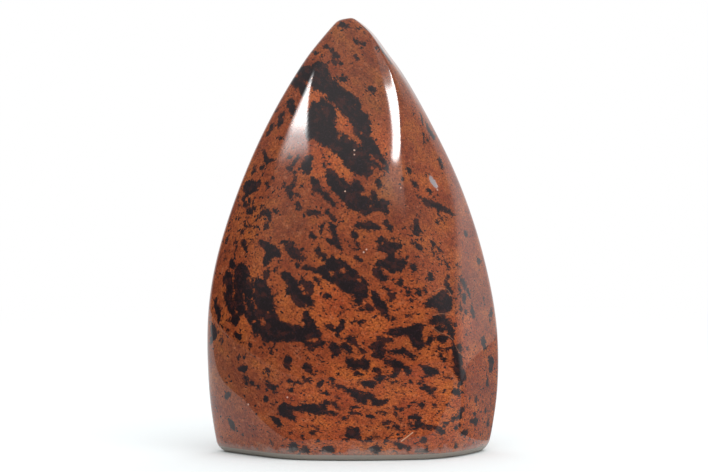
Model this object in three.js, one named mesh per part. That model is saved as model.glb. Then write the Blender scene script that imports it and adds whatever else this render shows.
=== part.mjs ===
// A free-standing freeform of mahogany obsidian, sawn flat under the base and polished all over.
// Sizes are in millimetres. +Z is up, -Y is the broad front and +X is the side with the long ridges.
// The origin is the middle of the stone's outline, on the surface that it stands on.
import * as THREE from "three";

const HEIGHT = 110;
const BEVEL_HEIGHT = 1.6; // the narrow bevel ground round the foot
const BEVEL_WIDTH = 1.1;
const FOOT_RIM = 0.7; // flat margin inside the foot's edge, which keeps that edge crisp
const TIP_ROUND = 0.7; // the small rounding round the ground-off tip
const TIP_SLOPE = 0.16; // the tip's flat falls this much for each millimetre to the left
const TIP_SLOPE_FROM = 100;
const TIP_ROUND_STEPS = [30, 60, 90]; // degrees round the tip's rounding, a ring of points at each

// The mesh: levels from foot to tip, points round each level, and how finely a level is traced first.
const LEVELS = 58;
const POINTS_ROUND = 76;
const TRACED_ROUND = 360;
const RIDGE_PULL = 7; // a ridge's turn of one radian draws in as many points as this many millimetres
const MIDDLE_SPREAD = 0.8; // share of the levels spread evenly; the rest crowd towards foot and tip
const FARTHEST = 60; // the edge of a level is looked for no farther from its middle than this
const HALVINGS = 26; // how many times that search halves the distance
const EVENING = 8; // a profile is evened out over this much height, up and down, and over less near its ends
const EVENING_STEPS = 6; // how many heights are taken each way for that

// Every profile is a list of [height, value], joined by a smooth curve.
// How far the narrow edges stand to the left and to the right. The flank and the back grind the right one
// down, so the stone itself reaches 37 on both sides.
const LEFT_REACH = [
  [0, 34.8], [6, 35.4], [14, 36.3], [24, 36.9], [33, 37.2], [44, 36.5], [58, 33.7],
  [70, 30.5], [82, 26.2], [94, 19.8], [103, 12.3], [110, 4.2],
];
const RIGHT_REACH = [
  [0, 36.0], [6, 37.0], [14, 39.0], [22, 41.8], [29, 44.6], [40, 42.8], [52, 38.4],
  [64, 34.4], [76, 29.4], [88, 20.4], [98, 13.6], [105, 6.7], [110, 1.1],
];
// The thickness: how far the front and the back stand from the middle.
const FRONT_REACH = [
  [0, 19.9], [3, 20.45], [8, 20.8], [20, 20.5], [40, 19.4], [60, 17.2], [80, 13.4],
  [95, 9.0], [105, 5.2], [110, 3.1],
];
const BACK_REACH = [
  [0, 15.6], [6, 16.8], [20, 17.6], [45, 16.6], [70, 13.2], [90, 8.6], [104, 5.0], [110, 2.9],
];
// How round each broad face is in plan: the radius of its curve at each height.
const FRONT_BOW = [[0, 74], [40, 84], [62, 52], [85, 26], [100, 14], [110, 9]];
const BACK_BOW = [[0, 70], [45, 80], [80, 52], [100, 24], [110, 9]];
const EDGE_BOW = [[0, 22], [40, 15], [80, 11], [100, 7], [110, 3]];
// How much finer the ridges get towards the tip: 1 is their full width on the body of the stone.
const FINENESS = [[0, 1], [50, 1], [72, 0.94], [88, 0.68], [100, 0.34], [110, 0.12]];

// The ground faces round the stone. turn is the way a face looks, in degrees from the front towards the
// right. reach is how far it stands from the stone's middle, bow is its radius in plan, and soft is how
// wide its ridge is rounded against the faces before it.
const shoulderTurn = profile([[0, 26], [50, 30], [64, 38], [76, 46], [85, 51], [95, 56], [110, 62]]);
const flankTurn = profile([[0, 65], [16, 63], [30, 60.4], [48, 59.8], [60, 62], [72, 67.4], [85, 74], [110, 84]]);
const SHOULDER_REACH = [
  [0, 30], [35, 25.5], [50, 22.4], [64, 20.08], [76, 17.45], [85, 15.54], [95, 12.3], [105, 6.8], [110, 2.4],
];
const FLANK_REACH = [
  [0, 30.6], [10, 32.0], [20, 31.9], [30, 30.9], [42, 28.8], [55, 26.4], [64, 24.8],
  [76, 21.8], [86, 17.6], [96, 12.7], [105, 6.1], [110, 0.5],
];
const FACES = [
  { name: "front", turn: () => 0, reach: profile(FRONT_REACH), bow: profile(FRONT_BOW), soft: 1 },
  { name: "left edge", turn: () => -92, reach: profile(LEFT_REACH), bow: profile(EDGE_BOW), soft: 12 },
  { name: "right edge", turn: () => 92, reach: profile(RIGHT_REACH), bow: profile(EDGE_BOW), soft: 4 },
  { name: "right shoulder", turn: shoulderTurn, reach: profile(SHOULDER_REACH), bow: () => 120, soft: 0.7 },
  { name: "right flank", turn: flankTurn, reach: profile(FLANK_REACH), bow: () => 400, soft: 1.1 },
  { name: "back", turn: () => 178, reach: profile(BACK_REACH), bow: profile(BACK_BOW), soft: 4 },
];

// Flats that slant: the two lower corners, and a broad one on the back. Each has a point on it and the way
// it looks, as degrees from the front towards the right and degrees above the horizon.
const CORNERS = [
  { name: "lower left corner", at: [-24.5, -15.2, 11], turn: -45, tilt: -17, bow: 200, soft: 2.6 },
  { name: "lower right corner", at: [26.4, -15.4, 8], turn: 46, tilt: -17, bow: 200, soft: 2.2 },
  { name: "back left slant", at: [-18.0, 13.4, 38], turn: -148, tilt: 7, bow: 300, soft: 4 },
];

// A smooth curve close to [height, value] points, as a function of the height: the curve through them, evened
// out so that the polish has no ripples.
function profile(points) {
  const through = curveThrough(points);
  return (height) => {
    const half = Math.max(Math.min(EVENING, height, HEIGHT - height), 0);
    let sum = 0;
    for (let k = -EVENING_STEPS; k <= EVENING_STEPS; k += 1) sum += through(height + (half * k) / EVENING_STEPS);
    return sum / (2 * EVENING_STEPS + 1);
  };
}

// The curve through the points, with the slope of a parabola at each.
function curveThrough(points) {
  const last = points.length - 1;
  const slopeBetween = (i) => (points[i + 1][1] - points[i][1]) / (points[i + 1][0] - points[i][0]);
  const slopeAt = (i) => {
    if (i === 0) return slopeBetween(0);
    if (i === last) return slopeBetween(last - 1);
    const before = points[i][0] - points[i - 1][0];
    const after = points[i + 1][0] - points[i][0];
    return (slopeBetween(i - 1) * after + slopeBetween(i) * before) / (before + after);
  };
  return (height) => {
    let i = 0;
    while (i < last - 1 && height > points[i + 1][0]) i += 1;
    const span = points[i + 1][0] - points[i][0];
    const t = (height - points[i][0]) / span;
    const rise = points[i + 1][1] - points[i][1];
    const curveIn = slopeAt(i) * span - rise;
    const curveOut = rise - slopeAt(i + 1) * span;
    return points[i][1] + t * rise + t * (1 - t) * ((1 - t) * curveIn + t * curveOut);
  };
}

function direction(turn, tilt = 0) {
  const a = THREE.MathUtils.degToRad(turn);
  const e = THREE.MathUtils.degToRad(tilt);
  return new THREE.Vector3(Math.sin(a) * Math.cos(e), -Math.cos(a) * Math.cos(e), Math.sin(e));
}

// How far a point stands outside two faces at once, with the ridge between them rounded.
function softMax(a, b, soft) {
  const blend = Math.max(soft - Math.abs(a - b), 0);
  return Math.max(a, b) + (blend * blend) / (4 * soft);
}

// How far a point stands outside a gently bowed face. ahead is how far it lies beyond the face's highest
// point along the way the face looks, and aside is how far it lies off to the side of that point.
function gapTo(ahead, aside, bow) {
  return (ahead + (aside * aside) / (2 * bow)) / Math.hypot(1, aside / bow);
}

const fineness = profile(FINENESS);

// The upright faces as they are at one height.
function facesAt(z) {
  return FACES.map(({ turn, reach, bow, soft }) => ({
    look: direction(turn(z)),
    reach: reach(z),
    bow: bow(z),
    soft: soft * fineness(z),
  }));
}

const corners = CORNERS.map((corner) => ({
  ...corner,
  at: new THREE.Vector3(...corner.at),
  look: direction(corner.turn, corner.tilt),
}));

// How far a point at height z stands outside the stone: negative inside.
function outside(faces, x, y, z) {
  let most = -Infinity;
  for (const { look, reach, bow, soft } of faces) {
    const ahead = x * look.x + y * look.y - reach;
    const aside = y * look.x - x * look.y;
    most = softMax(most, gapTo(ahead, aside, bow), soft);
  }
  for (const { at, look, bow, soft } of corners) {
    const [dx, dy, dz] = [x - at.x, y - at.y, z - at.z];
    const ahead = dx * look.x + dy * look.y + dz * look.z;
    const aside = Math.sqrt(Math.max(dx * dx + dy * dy + dz * dz - ahead * ahead, 0));
    most = softMax(most, gapTo(ahead, aside, bow), soft);
  }
  return most;
}

// How far a level is drawn in from the faces: the bevel at the foot and the rounding at the tip.
function inset(z) {
  if (z < BEVEL_HEIGHT) return BEVEL_WIDTH * (1 - z / BEVEL_HEIGHT);
  const intoTip = Math.max(z - (HEIGHT - TIP_ROUND), 0);
  return TIP_ROUND - Math.sqrt(Math.max(TIP_ROUND ** 2 - intoTip ** 2, 0));
}

// The distance from the middle of a level to its edge along one direction.
function edgeDistance(faces, middle, angle, z, drawnIn) {
  let near = 0;
  let far = FARTHEST;
  for (let step = 0; step < HALVINGS; step += 1) {
    const r = (near + far) / 2;
    const value = outside(faces, middle + r * Math.cos(angle), r * Math.sin(angle), z);
    if (value < -drawnIn) near = r;
    else far = r;
  }
  return near;
}

// One level's outline: points spread by length along it, and closer together where it turns.
function levelOutline(z, drawnIn) {
  const faces = facesAt(z);
  const middle = (profile(RIGHT_REACH)(z) - profile(LEFT_REACH)(z)) / 2;
  const traced = [];
  for (let i = 0; i <= TRACED_ROUND; i += 1) {
    const angle = Math.PI / 2 + (i / TRACED_ROUND) * 2 * Math.PI;
    const r = edgeDistance(faces, middle, angle, z, drawnIn);
    traced.push(new THREE.Vector2(middle + r * Math.cos(angle), r * Math.sin(angle)));
  }
  const weight = [0];
  for (let i = 1; i <= TRACED_ROUND; i += 1) {
    const step = traced[i].clone().sub(traced[i - 1]);
    const next = traced[(i % TRACED_ROUND) + 1].clone().sub(traced[i]);
    const bend = Math.abs(Math.atan2(step.cross(next), step.dot(next)));
    weight.push(weight[i - 1] + step.length() + RIDGE_PULL * fineness(z) * bend);
  }
  const outline = [];
  let i = 0;
  for (let k = 0; k < POINTS_ROUND; k += 1) {
    const wanted = (k / POINTS_ROUND) * weight[TRACED_ROUND];
    while (i < TRACED_ROUND - 1 && weight[i + 1] < wanted) i += 1;
    const part = (wanted - weight[i]) / (weight[i + 1] - weight[i]);
    const p = traced[i].clone().lerp(traced[i + 1], part);
    const lowered = THREE.MathUtils.smoothstep(z, TIP_SLOPE_FROM, HEIGHT) * TIP_SLOPE;
    outline.push(new THREE.Vector3(p.x, p.y, z + lowered * (p.x - middle)));
  }
  return outline;
}

// The heights of the levels between the bevel and the tip's rounding.
function levelHeights() {
  const low = BEVEL_HEIGHT;
  const high = HEIGHT - TIP_ROUND;
  const heights = [];
  for (let i = 0; i <= LEVELS; i += 1) {
    const t = i / LEVELS;
    const crowded = (1 - Math.cos(Math.PI * t)) / 2;
    heights.push(low + (high - low) * (MIDDLE_SPREAD * t + (1 - MIDDLE_SPREAD) * crowded));
  }
  return heights;
}

function stoneGeometry() {
  const rings = [levelOutline(0, BEVEL_WIDTH + FOOT_RIM), levelOutline(0, BEVEL_WIDTH)];
  for (const z of levelHeights()) rings.push(levelOutline(z, inset(z)));
  for (const angle of TIP_ROUND_STEPS) {
    const z = HEIGHT - TIP_ROUND * (1 - Math.sin(THREE.MathUtils.degToRad(angle)));
    rings.push(levelOutline(z, inset(z)));
  }
  const positions = rings.flat().flatMap((p) => [p.x, p.y, p.z]);
  const faces = [];
  const at = (ring, k) => ring * POINTS_ROUND + (k % POINTS_ROUND);
  for (let ring = 0; ring + 1 < rings.length; ring += 1) {
    for (let k = 0; k < POINTS_ROUND; k += 1) {
      const [a, b, c, d] = [at(ring, k), at(ring, k + 1), at(ring + 1, k + 1), at(ring + 1, k)];
      faces.push(a, b, c, a, c, d);
    }
  }
  closeWithFan(positions, faces, rings[0], 0, false);
  closeWithFan(positions, faces, rings.at(-1), (rings.length - 1) * POINTS_ROUND, true);
  const geometry = new THREE.BufferGeometry();
  geometry.setAttribute("position", new THREE.Float32BufferAttribute(positions, 3));
  geometry.setIndex(faces);
  return geometry;
}

// Closes a ring with triangles that meet in its middle.
function closeWithFan(positions, faces, ring, first, up) {
  const middle = ring.reduce((sum, p) => sum.add(p), new THREE.Vector3()).divideScalar(ring.length);
  const hub = positions.length / 3;
  positions.push(middle.x, middle.y, middle.z);
  for (let k = 0; k < POINTS_ROUND; k += 1) {
    const a = first + k;
    const b = first + ((k + 1) % POINTS_ROUND);
    if (up) faces.push(a, b, hub);
    else faces.push(b, a, hub);
  }
}

// Moves the outline's middle onto the origin.
function centreOnOrigin(geometry) {
  geometry.computeBoundingBox();
  const middle = geometry.boundingBox.getCenter(new THREE.Vector3());
  geometry.translate(-middle.x, -middle.y, 0);
  return geometry;
}

const mahoganyObsidian = new THREE.MeshStandardMaterial({ color: 0x7a3a22, roughness: 0.06, metalness: 0 });
const stone = new THREE.Mesh(centreOnOrigin(stoneGeometry()), mahoganyObsidian);
stone.name = "stone";

const part = new THREE.Group();
part.add(stone);
export default part;
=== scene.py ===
"""The looks of a polished freeform of mahogany obsidian, a black and red-brown volcanic glass."""
import math
import random

import bmesh
import bpy
import numpy as np
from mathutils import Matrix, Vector
from mathutils.bvhtree import BVHTree


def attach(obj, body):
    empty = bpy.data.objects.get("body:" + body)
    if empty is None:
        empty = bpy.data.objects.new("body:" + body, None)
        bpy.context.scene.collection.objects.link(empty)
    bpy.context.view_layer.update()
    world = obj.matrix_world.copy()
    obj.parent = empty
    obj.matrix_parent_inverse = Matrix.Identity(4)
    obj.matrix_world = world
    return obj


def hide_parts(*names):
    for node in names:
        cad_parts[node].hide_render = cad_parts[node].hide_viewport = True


MM = 0.001

# The camera: its height angle, how far it stands off, and what it looks at, all in the frame of the stone.
CAMERA_ELEVATION = math.radians(3)
CAMERA_DISTANCE = 850 * MM
CAMERA_TARGET = Vector((0.15, 0, 55.1)) * MM
PICTURE_WIDTH = 179.1 * MM
SENSOR_WIDTH = 36

# The picture plane faces the camera and passes through its target. A place on it is given as millimetres
# across from the middle of the stone and millimetres up from its foot, as the camera sees them. Each black
# patch is a chain of round dabs, (across, up, radius), that lies on the stone where the camera sees it.
BLACK_PATCHES = [
    # The tip and its right edge.
    [(-3.4, 108.6, 0.55), (-1.9, 108.2, 0.6)],
    [(0.9, 107.3, 0.3)],
    [(2.9, 107.8, 0.3), (4.2, 106.7, 0.35)],
    [(5.9, 104.8, 0.3), (6.8, 103.5, 0.4), (7.4, 101.8, 0.75), (8.6, 100.3, 0.5), (9.6, 98.8, 0.3)],
    [(0.1, 104.9, 0.4), (1.6, 104.0, 0.5), (2.7, 103.6, 0.45)],
    [(6.1, 102.8, 0.25)],
    [(-7.0, 103.2, 0.3), (-5.6, 102.0, 0.35), (-4.8, 101.2, 0.5), (-3.9, 100.3, 0.45)],
    [(-5.8, 99.6, 0.25), (-4.7, 98.9, 0.25)],
    [(-3.1, 98.6, 0.3)],
    [(-9.5, 101.4, 0.3)],
    [(-8.2, 100.2, 0.3)],
    [(0.8, 100.5, 0.3), (0.8, 99.6, 0.25)],
    [(4.2, 92.3, 0.6), (5.3, 91.8, 0.55)],
    # The crown mass, from the upper left edge down to the right.
    [(-14.0, 97.0, 1.2), (-12.5, 96.6, 1.7), (-10.6, 96.4, 2.3), (-8.6, 96.9, 1.9), (-6.9, 96.2, 1.0)],
    [(-9.2, 98.6, 0.9), (-7.6, 97.8, 0.8)],
    [(-15.8, 95.4, 0.9), (-14.0, 93.6, 1.4), (-12.4, 92.0, 1.2)],
    [(-9.6, 94.2, 2.0), (-7.2, 93.6, 2.0), (-5.3, 91.8, 2.2), (-3.2, 90.0, 2.4), (-0.6, 88.0, 2.6)],
    [(-8.8, 88.6, 1.8), (-9.2, 85.6, 2.3), (-8.6, 82.6, 2.6), (-6.2, 80.2, 2.5)],
    [(-6.6, 87.0, 1.8), (-6.2, 83.6, 1.8)],
    [(-0.6, 88.0, 2.4), (1.4, 85.4, 2.6), (2.2, 82.6, 2.2), (2.4, 79.8, 2.0)],
    [(-6.2, 80.2, 2.2), (-3.4, 78.4, 2.6), (-0.6, 76.0, 3.0), (1.8, 73.6, 3.0), (3.4, 72.0, 2.0)],
    [(2.6, 79.4, 2.0), (4.0, 77.2, 2.2), (5.8, 74.8, 1.6), (7.2, 73.2, 1.4), (8.1, 72.4, 0.9)],
    [(-10.8, 86.4, 1.0), (-11.4, 83.4, 1.0), (-11.0, 80.4, 1.0)],
    [(-4.2, 95.0, 0.5), (-2.2, 94.7, 0.45)],
    [(-16.0, 89.0, 1.0), (-15.7, 87.4, 1.0), (-15.2, 85.8, 0.7)],
    [(-18.3, 85.6, 0.7), (-18.6, 83.6, 0.95)],
    [(-20.3, 83.3, 0.45), (-21.0, 82.0, 0.5), (-21.9, 80.6, 0.4)],
    [(-18.3, 79.9, 0.3)],
    # The left side between the crown and the middle.
    [(-16.0, 75.2, 0.45)],
    [(-15.2, 73.6, 0.6)],
    [(-16.4, 72.4, 0.4)],
    [(-14.2, 74.6, 0.35)],
    [(-14.8, 71.2, 0.45)],
    [(-26.4, 64.2, 0.6)],
    [(-26.7, 61.6, 0.5), (-26.0, 60.9, 0.4)],
    [(-23.4, 62.6, 0.5)],
    [(-25.9, 57.7, 0.55), (-25.2, 57.2, 0.4)],
    [(-24.4, 59.4, 0.35)],
    [(-27.6, 63.3, 0.45)],
    [(-23.6, 64.9, 0.3)],
    [(-22.2, 57.4, 0.35)],
    [(-27.2, 59.6, 0.4)],
    [(-24.9, 61.9, 0.4)],
    [(-22.7, 75.9, 0.35), (-22.3, 74.8, 0.65), (-21.9, 73.9, 0.45), (-20.3, 74.3, 0.35)],
    [(-23.3, 72.5, 0.55)],
    [(-25.0, 72.4, 0.5), (-25.3, 71.3, 0.65)],
    [(-26.8, 67.6, 1.4), (-25.6, 67.5, 1.8), (-24.2, 68.4, 0.8)],
    [(-26.8, 66.4, 0.9), (-27.0, 65.4, 0.5)],
    [(-21.8, 68.2, 0.5)],
    [(-20.5, 70.0, 0.3)],
    [(-17.4, 68.2, 0.5), (-16.3, 66.9, 0.95), (-16.0, 65.3, 0.7)],
    [(-14.6, 70.0, 0.5), (-15.1, 68.5, 0.6)],
    [(-15.8, 72.0, 0.35)],
    [(-11.3, 74.6, 0.9), (-11.8, 72.8, 1.4), (-11.3, 71.2, 0.9)],
    [(-10.9, 70.0, 0.6), (-9.8, 68.5, 0.9), (-8.6, 66.3, 0.7), (-6.6, 64.6, 0.75), (-5.0, 63.0, 0.55)],
    [(-7.5, 73.2, 0.6)],
    [(-7.6, 74.8, 0.35)],
    [(-14.2, 65.6, 0.5), (-13.6, 65.0, 0.55)],
    [(-13.9, 63.4, 0.35), (-13.9, 62.0, 0.3)],
    [(-27.9, 64.6, 0.4), (-27.6, 63.0, 0.8)],
    [(-25.3, 64.2, 0.3), (-25.2, 62.6, 0.35), (-24.2, 61.9, 0.35)],
    [(-24.2, 59.7, 0.4), (-23.0, 60.9, 0.8), (-21.5, 60.7, 0.6), (-21.2, 59.0, 0.5)],
    [(-22.2, 58.5, 0.3), (-21.7, 57.3, 0.25)],
    [(-20.4, 61.4, 0.35), (-19.7, 61.3, 0.5)],
    # The second lens, across the middle above the centre.
    [(-5.6, 70.2, 1.5), (-3.6, 67.5, 1.9), (-0.4, 65.0, 2.6), (3.0, 62.7, 2.2), (6.3, 62.9, 1.2)],
    [(6.0, 62.8, 1.0), (7.6, 63.3, 1.2), (8.8, 63.6, 0.8)],
    [(8.0, 62.0, 0.6), (8.8, 61.0, 0.35)],
    [(0.6, 68.2, 1.0), (1.6, 66.5, 1.2)],
    [(4.8, 66.0, 0.7), (5.4, 64.4, 0.7)],
    [(-5.8, 72.0, 0.45), (-5.6, 70.6, 1.0)],
    [(5.9, 68.9, 0.45), (7.3, 67.5, 0.6)],
    [(-11.2, 61.2, 0.75), (-9.2, 61.0, 0.85)],
    [(-6.8, 61.0, 0.35), (-5.6, 60.2, 0.45), (-4.8, 59.4, 0.45)],
    [(1.2, 60.0, 0.35)],
    # Under the lens.
    [(-7.6, 58.4, 0.35), (-7.8, 56.8, 0.5), (-8.2, 55.8, 0.35)],
    [(-6.2, 58.4, 0.4), (-5.0, 57.2, 0.6), (-4.7, 55.4, 0.5), (-4.2, 53.6, 0.6)],
    [(-6.4, 54.2, 0.35), (-5.0, 53.2, 0.45), (-3.4, 52.0, 0.5)],
    [(-10.6, 55.8, 0.35), (-9.8, 54.8, 0.4)],
    [(1.2, 58.0, 0.6), (2.8, 57.6, 1.0), (4.6, 58.0, 1.0), (6.2, 57.2, 0.7)],
    [(8.0, 58.4, 0.5), (8.9, 57.6, 0.7), (9.5, 56.6, 0.6)],
    [(-0.1, 56.2, 0.4), (0.4, 55.2, 0.75), (0.3, 54.2, 0.45)],
    [(0.7, 53.0, 0.3), (0.6, 52.0, 0.25)],
    [(0.5, 49.8, 0.3), (1.9, 49.0, 0.3)],
    [(6.4, 53.8, 0.7), (7.6, 54.6, 0.5)],
    [(7.2, 52.2, 1.0), (8.8, 52.0, 1.3), (10.4, 52.6, 1.2), (11.8, 52.8, 0.5)],
    [(9.6, 54.6, 0.3), (11.4, 54.4, 0.3)],
    [(9.6, 50.6, 0.6), (9.4, 49.0, 1.1)],
    [(6.8, 48.0, 0.8), (8.4, 48.2, 1.2), (10.4, 48.4, 1.2), (12.4, 48.6, 0.9), (11.6, 47.2, 1.0)],
    [(9.8, 46.6, 0.7)],
    [(13.4, 49.4, 0.4)],
    [(5.0, 46.6, 0.4), (6.2, 45.6, 0.8), (7.6, 44.6, 1.0), (8.7, 43.8, 0.5)],
    # Right of the middle.
    [(13.6, 72.2, 0.35), (14.4, 71.3, 0.3)],
    [(14.6, 68.8, 0.4), (15.8, 68.0, 0.6), (16.4, 67.5, 0.5)],
    [(12.4, 69.4, 0.3)],
    [(17.0, 86.2, 0.3), (17.4, 84.2, 0.45), (17.6, 83.1, 0.4)],
    [(18.2, 83.9, 0.35), (19.0, 82.3, 0.6), (20.2, 80.2, 0.6)],
    [(17.7, 80.9, 0.3), (17.9, 78.9, 0.5)],
    [(18.6, 79.4, 0.45)],
    [(15.3, 86.0, 0.35)],
    [(21.8, 74.1, 0.65), (22.2, 72.9, 0.8)],
    [(18.5, 70.3, 0.3)],
    [(18.5, 66.7, 0.4), (19.6, 66.3, 0.5)],
    [(16.2, 65.4, 0.3), (17.4, 64.1, 0.45), (18.8, 63.4, 0.8), (20.4, 63.1, 0.95), (22.0, 62.3, 0.7)],
    [(22.0, 62.3, 0.7), (23.8, 61.6, 0.9), (25.0, 60.8, 0.6)],
    [(20.6, 64.7, 0.4)],
    [(21.6, 61.2, 0.45)],
    [(22.3, 59.8, 0.35)],
    [(23.7, 59.5, 0.4)],
    [(21.1, 58.5, 0.35)],
    [(15.6, 59.0, 0.6), (15.9, 57.0, 0.8), (16.0, 55.9, 0.85)],
    [(14.4, 57.6, 0.45)],
    [(17.1, 54.1, 0.35)],
    [(15.2, 53.2, 0.6), (16.6, 52.1, 0.75)],
    [(19.8, 53.7, 0.3), (20.6, 52.6, 0.35), (22.0, 51.4, 0.3)],
    [(19.9, 51.7, 0.35), (20.3, 50.4, 0.45)],
    [(21.3, 49.6, 0.25), (22.4, 47.9, 0.35)],
    [(23.4, 48.6, 0.45), (24.2, 46.9, 0.7)],
    [(26.4, 47.5, 0.35)],
    [(15.2, 47.4, 0.6), (15.3, 46.6, 0.55)],
    [(17.7, 47.7, 0.35)],
    [(19.5, 45.3, 0.6), (19.6, 44.6, 0.7)],
    [(24.0, 44.7, 0.4)],
    [(23.3, 43.7, 0.5), (23.7, 42.6, 0.7), (24.8, 41.1, 0.4)],
    [(18.1, 41.6, 0.45), (18.6, 41.0, 0.55)],
    [(16.2, 41.4, 0.25), (16.6, 40.6, 0.35)],
    [(13.4, 42.0, 0.45), (14.2, 40.8, 0.6)],
    [(11.2, 43.3, 0.35), (12.0, 43.3, 0.7), (12.3, 44.2, 0.35)],
    [(7.0, 42.8, 0.3), (8.3, 41.6, 0.4), (9.0, 40.4, 0.6), (9.9, 39.8, 1.0)],
    # The round patch by the right edge, and those under it.
    [(19.0, 38.0, 0.8), (20.8, 38.6, 1.9), (22.4, 38.5, 2.7), (23.0, 38.2, 2.4)],
    [(19.8, 33.6, 0.8), (21.0, 34.4, 0.7), (23.0, 34.0, 1.0), (24.0, 32.6, 1.1), (24.8, 30.6, 0.8)],
    [(24.8, 30.6, 0.8), (25.2, 29.6, 0.5)],
    [(20.4, 32.7, 0.35), (21.8, 31.4, 0.6), (22.8, 31.6, 0.6)],
    [(21.6, 29.1, 0.7), (22.6, 28.8, 0.9), (23.5, 29.2, 0.4)],
    [(19.6, 29.6, 0.5), (19.1, 28.2, 0.8)],
    [(21.3, 27.4, 0.35), (22.2, 26.2, 0.35)],
    [(23.2, 26.3, 0.3), (24.0, 26.5, 0.35)],
    [(22.0, 24.6, 0.35), (23.0, 23.7, 0.4)],
    [(25.4, 26.8, 0.6), (25.9, 25.2, 1.2), (26.6, 23.4, 1.6), (26.4, 21.8, 1.3), (27.2, 20.4, 1.3)],
    [(27.2, 20.4, 1.2), (28.2, 19.4, 0.6)],
    [(27.2, 18.2, 0.7)],
    [(26.8, 27.6, 0.55), (27.2, 26.4, 0.55)],
    # The steep flank, where the camera sees every dab narrowed.
    [(27.4, 43.8, 0.9), (28.1, 42.4, 1.0)],
    [(26.6, 43.0, 0.4), (27.0, 41.2, 0.6), (27.1, 40.4, 0.4)],
    [(29.0, 41.2, 0.6), (29.4, 40.2, 0.6)],
    [(28.0, 39.6, 1.0), (28.1, 38.4, 0.8)],
    [(27.0, 38.4, 0.5), (27.3, 36.6, 0.7)],
    [(28.3, 36.2, 0.7)],
    [(29.9, 37.4, 0.6), (30.3, 35.2, 0.9)],
    [(27.7, 34.2, 0.5)],
    [(25.7, 32.6, 0.35)],
    [(28.6, 30.8, 0.5)],
    [(28.9, 26.8, 0.5)],
    [(32.9, 28.9, 1.2), (33.1, 27.2, 1.0)],
    [(34.4, 24.4, 0.5), (34.8, 23.0, 1.6), (34.7, 21.6, 1.2)],
    [(33.8, 18.2, 1.0)],
    [(34.8, 35.9, 1.0), (34.6, 33.8, 0.7)],
    [(28.4, 55.6, 0.8)],
    [(31.8, 48.6, 0.9)],
    [(33.0, 39.0, 0.6)],
    # The middle of the left half.
    [(-25.2, 57.2, 0.45), (-25.9, 56.1, 0.4)],
    [(-27.6, 58.6, 0.4), (-27.2, 57.4, 0.35)],
    [(-28.3, 56.1, 0.45)],
    [(-27.9, 53.3, 0.4), (-27.5, 52.0, 0.55)],
    [(-29.9, 54.6, 0.3), (-29.5, 51.9, 0.45)],
    [(-31.9, 54.6, 0.35), (-32.0, 53.6, 0.35)],
    [(-32.1, 49.4, 0.4)],
    [(-23.4, 53.3, 0.5), (-21.9, 52.7, 1.0), (-20.4, 51.5, 1.2), (-18.6, 50.0, 0.7)],
    [(-20.6, 50.2, 0.9), (-22.0, 49.2, 1.1), (-22.5, 48.0, 0.5)],
    [(-18.3, 53.4, 0.35), (-17.0, 53.7, 0.5), (-15.6, 53.1, 0.4)],
    [(-17.0, 52.5, 0.4), (-15.8, 51.5, 0.85), (-14.6, 50.3, 1.0), (-12.6, 49.4, 0.5)],
    [(-12.9, 51.5, 0.4)],
    [(-30.9, 48.6, 0.65), (-30.4, 47.4, 0.75)],
    [(-21.9, 46.6, 0.3), (-22.0, 45.4, 0.5)],
    [(-14.2, 47.3, 0.4)],
    [(-19.6, 46.7, 0.3)],
    # The big left mass, with the band that runs down to its right.
    [(-31.5, 44.3, 1.8), (-31.7, 41.5, 1.7), (-31.5, 38.5, 1.6), (-30.5, 36.3, 1.0)],
    [(-28.3, 45.6, 2.4), (-28.0, 42.0, 3.0), (-28.0, 38.5, 2.8), (-26.6, 36.4, 1.8)],
    [(-24.2, 43.0, 1.7), (-22.8, 40.5, 2.3), (-22.7, 37.5, 2.7), (-21.8, 34.0, 3.0), (-21.4, 31.2, 2.9)],
    [(-30.0, 33.6, 1.3), (-29.4, 34.4, 0.9)],
    [(-25.4, 38.6, 1.8), (-25.4, 35.6, 1.8), (-25.0, 33.0, 1.4), (-24.6, 31.4, 1.4)],
    [(-21.3, 31.0, 2.7), (-18.0, 30.9, 2.5), (-14.5, 30.5, 1.9), (-11.4, 31.0, 2.2), (-9.3, 30.3, 1.4)],
    [(-11.8, 35.5, 0.8), (-11.4, 33.0, 1.6), (-10.8, 31.4, 1.9)],
    [(-34.9, 39.0, 0.7), (-34.5, 36.5, 0.8), (-34.0, 34.0, 0.65)],
    [(-35.4, 31.4, 1.3), (-35.0, 30.0, 1.1)],
    [(-36.0, 28.6, 0.7)],
    [(-33.6, 28.9, 0.4), (-33.1, 28.2, 0.45)],
    [(-34.9, 27.2, 0.35)],
    [(-30.0, 30.2, 0.45), (-28.9, 29.7, 0.6)],
    [(-31.9, 31.4, 0.35), (-30.9, 31.1, 0.35)],
    [(-24.5, 29.6, 0.4)],
    [(-26.4, 27.5, 0.55)],
    [(-23.6, 27.1, 0.3)],
    [(-20.3, 27.1, 0.4)],
    [(-21.5, 26.2, 0.25), (-20.6, 25.8, 0.35)],
    [(-29.3, 24.5, 0.4), (-28.2, 24.5, 0.5)],
    [(-17.6, 45.4, 1.1), (-16.0, 43.5, 1.4), (-14.6, 41.0, 1.5), (-13.4, 38.6, 1.3)],
    [(-12.8, 43.6, 0.9), (-11.3, 42.3, 1.3), (-10.5, 41.0, 0.7)],
    [(-13.4, 38.6, 1.3), (-11.6, 38.6, 1.5), (-10.4, 37.3, 0.7)],
    [(-9.9, 44.3, 0.6), (-8.8, 43.7, 0.6), (-8.4, 43.0, 0.35)],
    [(-12.2, 47.2, 0.4), (-10.6, 46.8, 0.55), (-9.0, 45.8, 0.6)],
    [(-12.2, 28.0, 0.6), (-10.6, 27.3, 1.1), (-9.0, 27.6, 0.7), (-7.2, 28.2, 0.45)],
    # The centre chain.
    [(-9.0, 51.4, 0.9), (-8.4, 50.5, 1.0), (-7.6, 49.6, 0.7)],
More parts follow.
